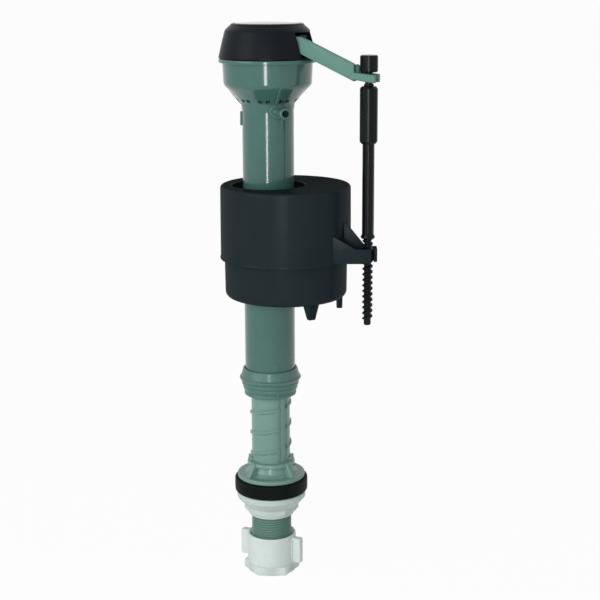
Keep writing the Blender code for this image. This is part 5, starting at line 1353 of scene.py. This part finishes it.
class FILLVALVE_OT_stage(Operator):
    """Pale floor with a swept backdrop, soft lamps and the camera at the photograph's angle"""

    bl_idname = "fill_valve.stage"
    bl_label = "Studio"

    def seen_ray(self, tree):
        """1 where the camera, a reflection or clear material looks, and 0 for light on the object."""
        rays = place(tree, "ShaderNodeLightPath").outputs
        straight = arithmetic(tree, "MAXIMUM", rays["Is Camera Ray"], rays["Is Glossy Ray"])
        return arithmetic(tree, "MAXIMUM", straight, rays["Is Transmission Ray"])

    def sweep(self, colours):
        """Floor whose back edge is extruded up and bevelled into one curve."""
        floor_z = CAD_BOX[0].z - 0.0002
        deselect()
        bpy.ops.mesh.primitive_plane_add(size=SWEEP_SIZE, location=(0.0, 0.0, floor_z))
        floor = bpy.context.object
        floor.name = "studio_sweep"
        edit(floor)
        pick(floor, "EDGE", lambda here, _: here.y > SWEEP_SIZE / 2 / MM - OVER)
        bpy.ops.mesh.extrude_region_move(TRANSFORM_OT_translate={"value": (0.0, 0.0, SWEEP_SIZE / 2)})
        done()
        soften(floor, 1500.0, segments=24)
        activate(floor)
        bpy.ops.object.transform_apply(location=True, rotation=True, scale=True)
        bpy.ops.object.shade_smooth_by_angle(angle=math.radians(SMOOTH_ANGLE))
        made, tree, shader = shader_of("studio_paper")
        grain = scaled_noise(tree, place(tree, "ShaderNodeTexCoord").outputs["Object"], 30.0, 4.0)
        white = tuple(colours.floor_white)
        paler = tuple(min(1.0, channel * 1.02) for channel in white)
        connect(tree, mix_colour(tree, grain, (*white, 1.0), (*paler, 1.0)), shader.inputs["Base Color"])
        shader.inputs["Roughness"].default_value = 0.9
        glow = place(tree, "ShaderNodeEmission")
        glow.inputs["Strength"].default_value = 1.0
        seen = self.seen_ray(tree)
        blend = place(tree, "ShaderNodeMixShader")
        connect(tree, arithmetic(tree, "MULTIPLY", seen, 0.96), blend.inputs["Fac"])
        connect(tree, shader.outputs["BSDF"], blend.inputs[1])
        connect(tree, glow.outputs["Emission"], blend.inputs[2])
        connect(tree, blend.outputs["Shader"], tree.nodes["Material Output"].inputs["Surface"])
        floor.data.materials.append(made)

    def lamp(self, name, location, size, energy, target):
        """A soft rectangular lamp that looks at a point."""
        deselect()
        bpy.ops.object.light_add(type="AREA", location=location)
        lamp = bpy.context.object
        lamp.name = name
        lamp.data.shape = "RECTANGLE"
        lamp.data.size, lamp.data.size_y = size
        lamp.data.energy = energy
        lamp.rotation_euler = (Vector(target) - Vector(location)).to_track_quat("-Z", "Y").to_euler()
        return lamp

    def world(self):
        """Even pale surroundings that the camera and reflections see as white."""
        scene = bpy.context.scene
        scene.world = bpy.data.worlds.new("studio_world")
        scene.world.use_nodes = True
        tree = scene.world.node_tree
        background = tree.nodes["Background"]
        background.inputs["Color"].default_value = (1.0, 1.0, 1.0, 1.0)
        strength = remap(tree, self.seen_ray(tree), 0.0, 1.0, 0.25, 1.0)
        connect(tree, strength, background.inputs["Strength"])

    def camera(self):
        """Camera in front, pitched down, with a long lens."""
        deselect()
        bpy.ops.object.camera_add(location=CAMERA_PLACE)
        camera = bpy.context.object
        camera.data.lens = CAMERA_LENS
        camera.data.clip_start = 0.05
        camera.data.clip_end = 50.0
        pitch = Matrix.Rotation(math.radians(90.0 - CAMERA_PITCH), 4, "X")
        roll = Matrix.Rotation(CAMERA_ROLL, 4, "Z")
        camera.matrix_world = Matrix.Translation(camera.location) @ pitch @ roll
        bpy.context.scene.camera = camera

    def execute(self, context):
        self.sweep(context.scene.fill_valve.colours)
        self.world()
        for lamp in LAMPS:
            self.lamp(*lamp)
        self.camera()
        context.scene.view_settings.view_transform = "Standard"
        return {"FINISHED"}


# Panel and registration

PIECES = (FILLVALVE_OT_finishes, FILLVALVE_OT_coupling_nut, FILLVALVE_OT_lock_nut,
          FILLVALVE_OT_shank_washer, FILLVALVE_OT_inlet_shank, FILLVALVE_OT_lock_ring,
          FILLVALVE_OT_valve_body, FILLVALVE_OT_cap, FILLVALVE_OT_lever, FILLVALVE_OT_adjusting_rod,
          FILLVALVE_OT_float_shell, FILLVALVE_OT_float_base, FILLVALVE_OT_stage)
GROUPS = (FILLVALVE_PG_nuts, FILLVALVE_PG_shank, FILLVALVE_PG_body, FILLVALVE_PG_top,
          FILLVALVE_PG_float, FILLVALVE_PG_colours, FILLVALVE_PG_settings)


class FILLVALVE_PT_panel(Panel):
    """Sizes and colours of the fill valve, and a button for each piece"""

    bl_idname = "FILLVALVE_PT_panel"
    bl_label = "Fill Valve"
    bl_space_type = "VIEW_3D"
    bl_region_type = "UI"
    bl_category = "Fill Valve"

    def draw(self, context):
        settings = context.scene.fill_valve
        for title in FILLVALVE_PG_settings.__annotations__:
            group = getattr(settings, title)
            box = self.layout.box()
            box.label(text=title.replace("_", " ").title())
            for name in group.__annotations__:
                box.prop(group, name)
        for piece in PIECES:
            self.layout.operator(piece.bl_idname)


def register():
    for made in GROUPS + PIECES + (FILLVALVE_PT_panel,):
        bpy.utils.register_class(made)
    bpy.types.Scene.fill_valve = PointerProperty(type=FILLVALVE_PG_settings)


def unregister():
    del bpy.types.Scene.fill_valve
    for made in reversed(GROUPS + PIECES + (FILLVALVE_PT_panel,)):
        bpy.utils.unregister_class(made)


def main():
    """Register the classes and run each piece's operator in order."""
    register()
    for piece in PIECES:
        group, name = piece.bl_idname.split(".")
        getattr(getattr(bpy.ops, group), name)()
    deselect()


if __name__ == "__main__":
    main()
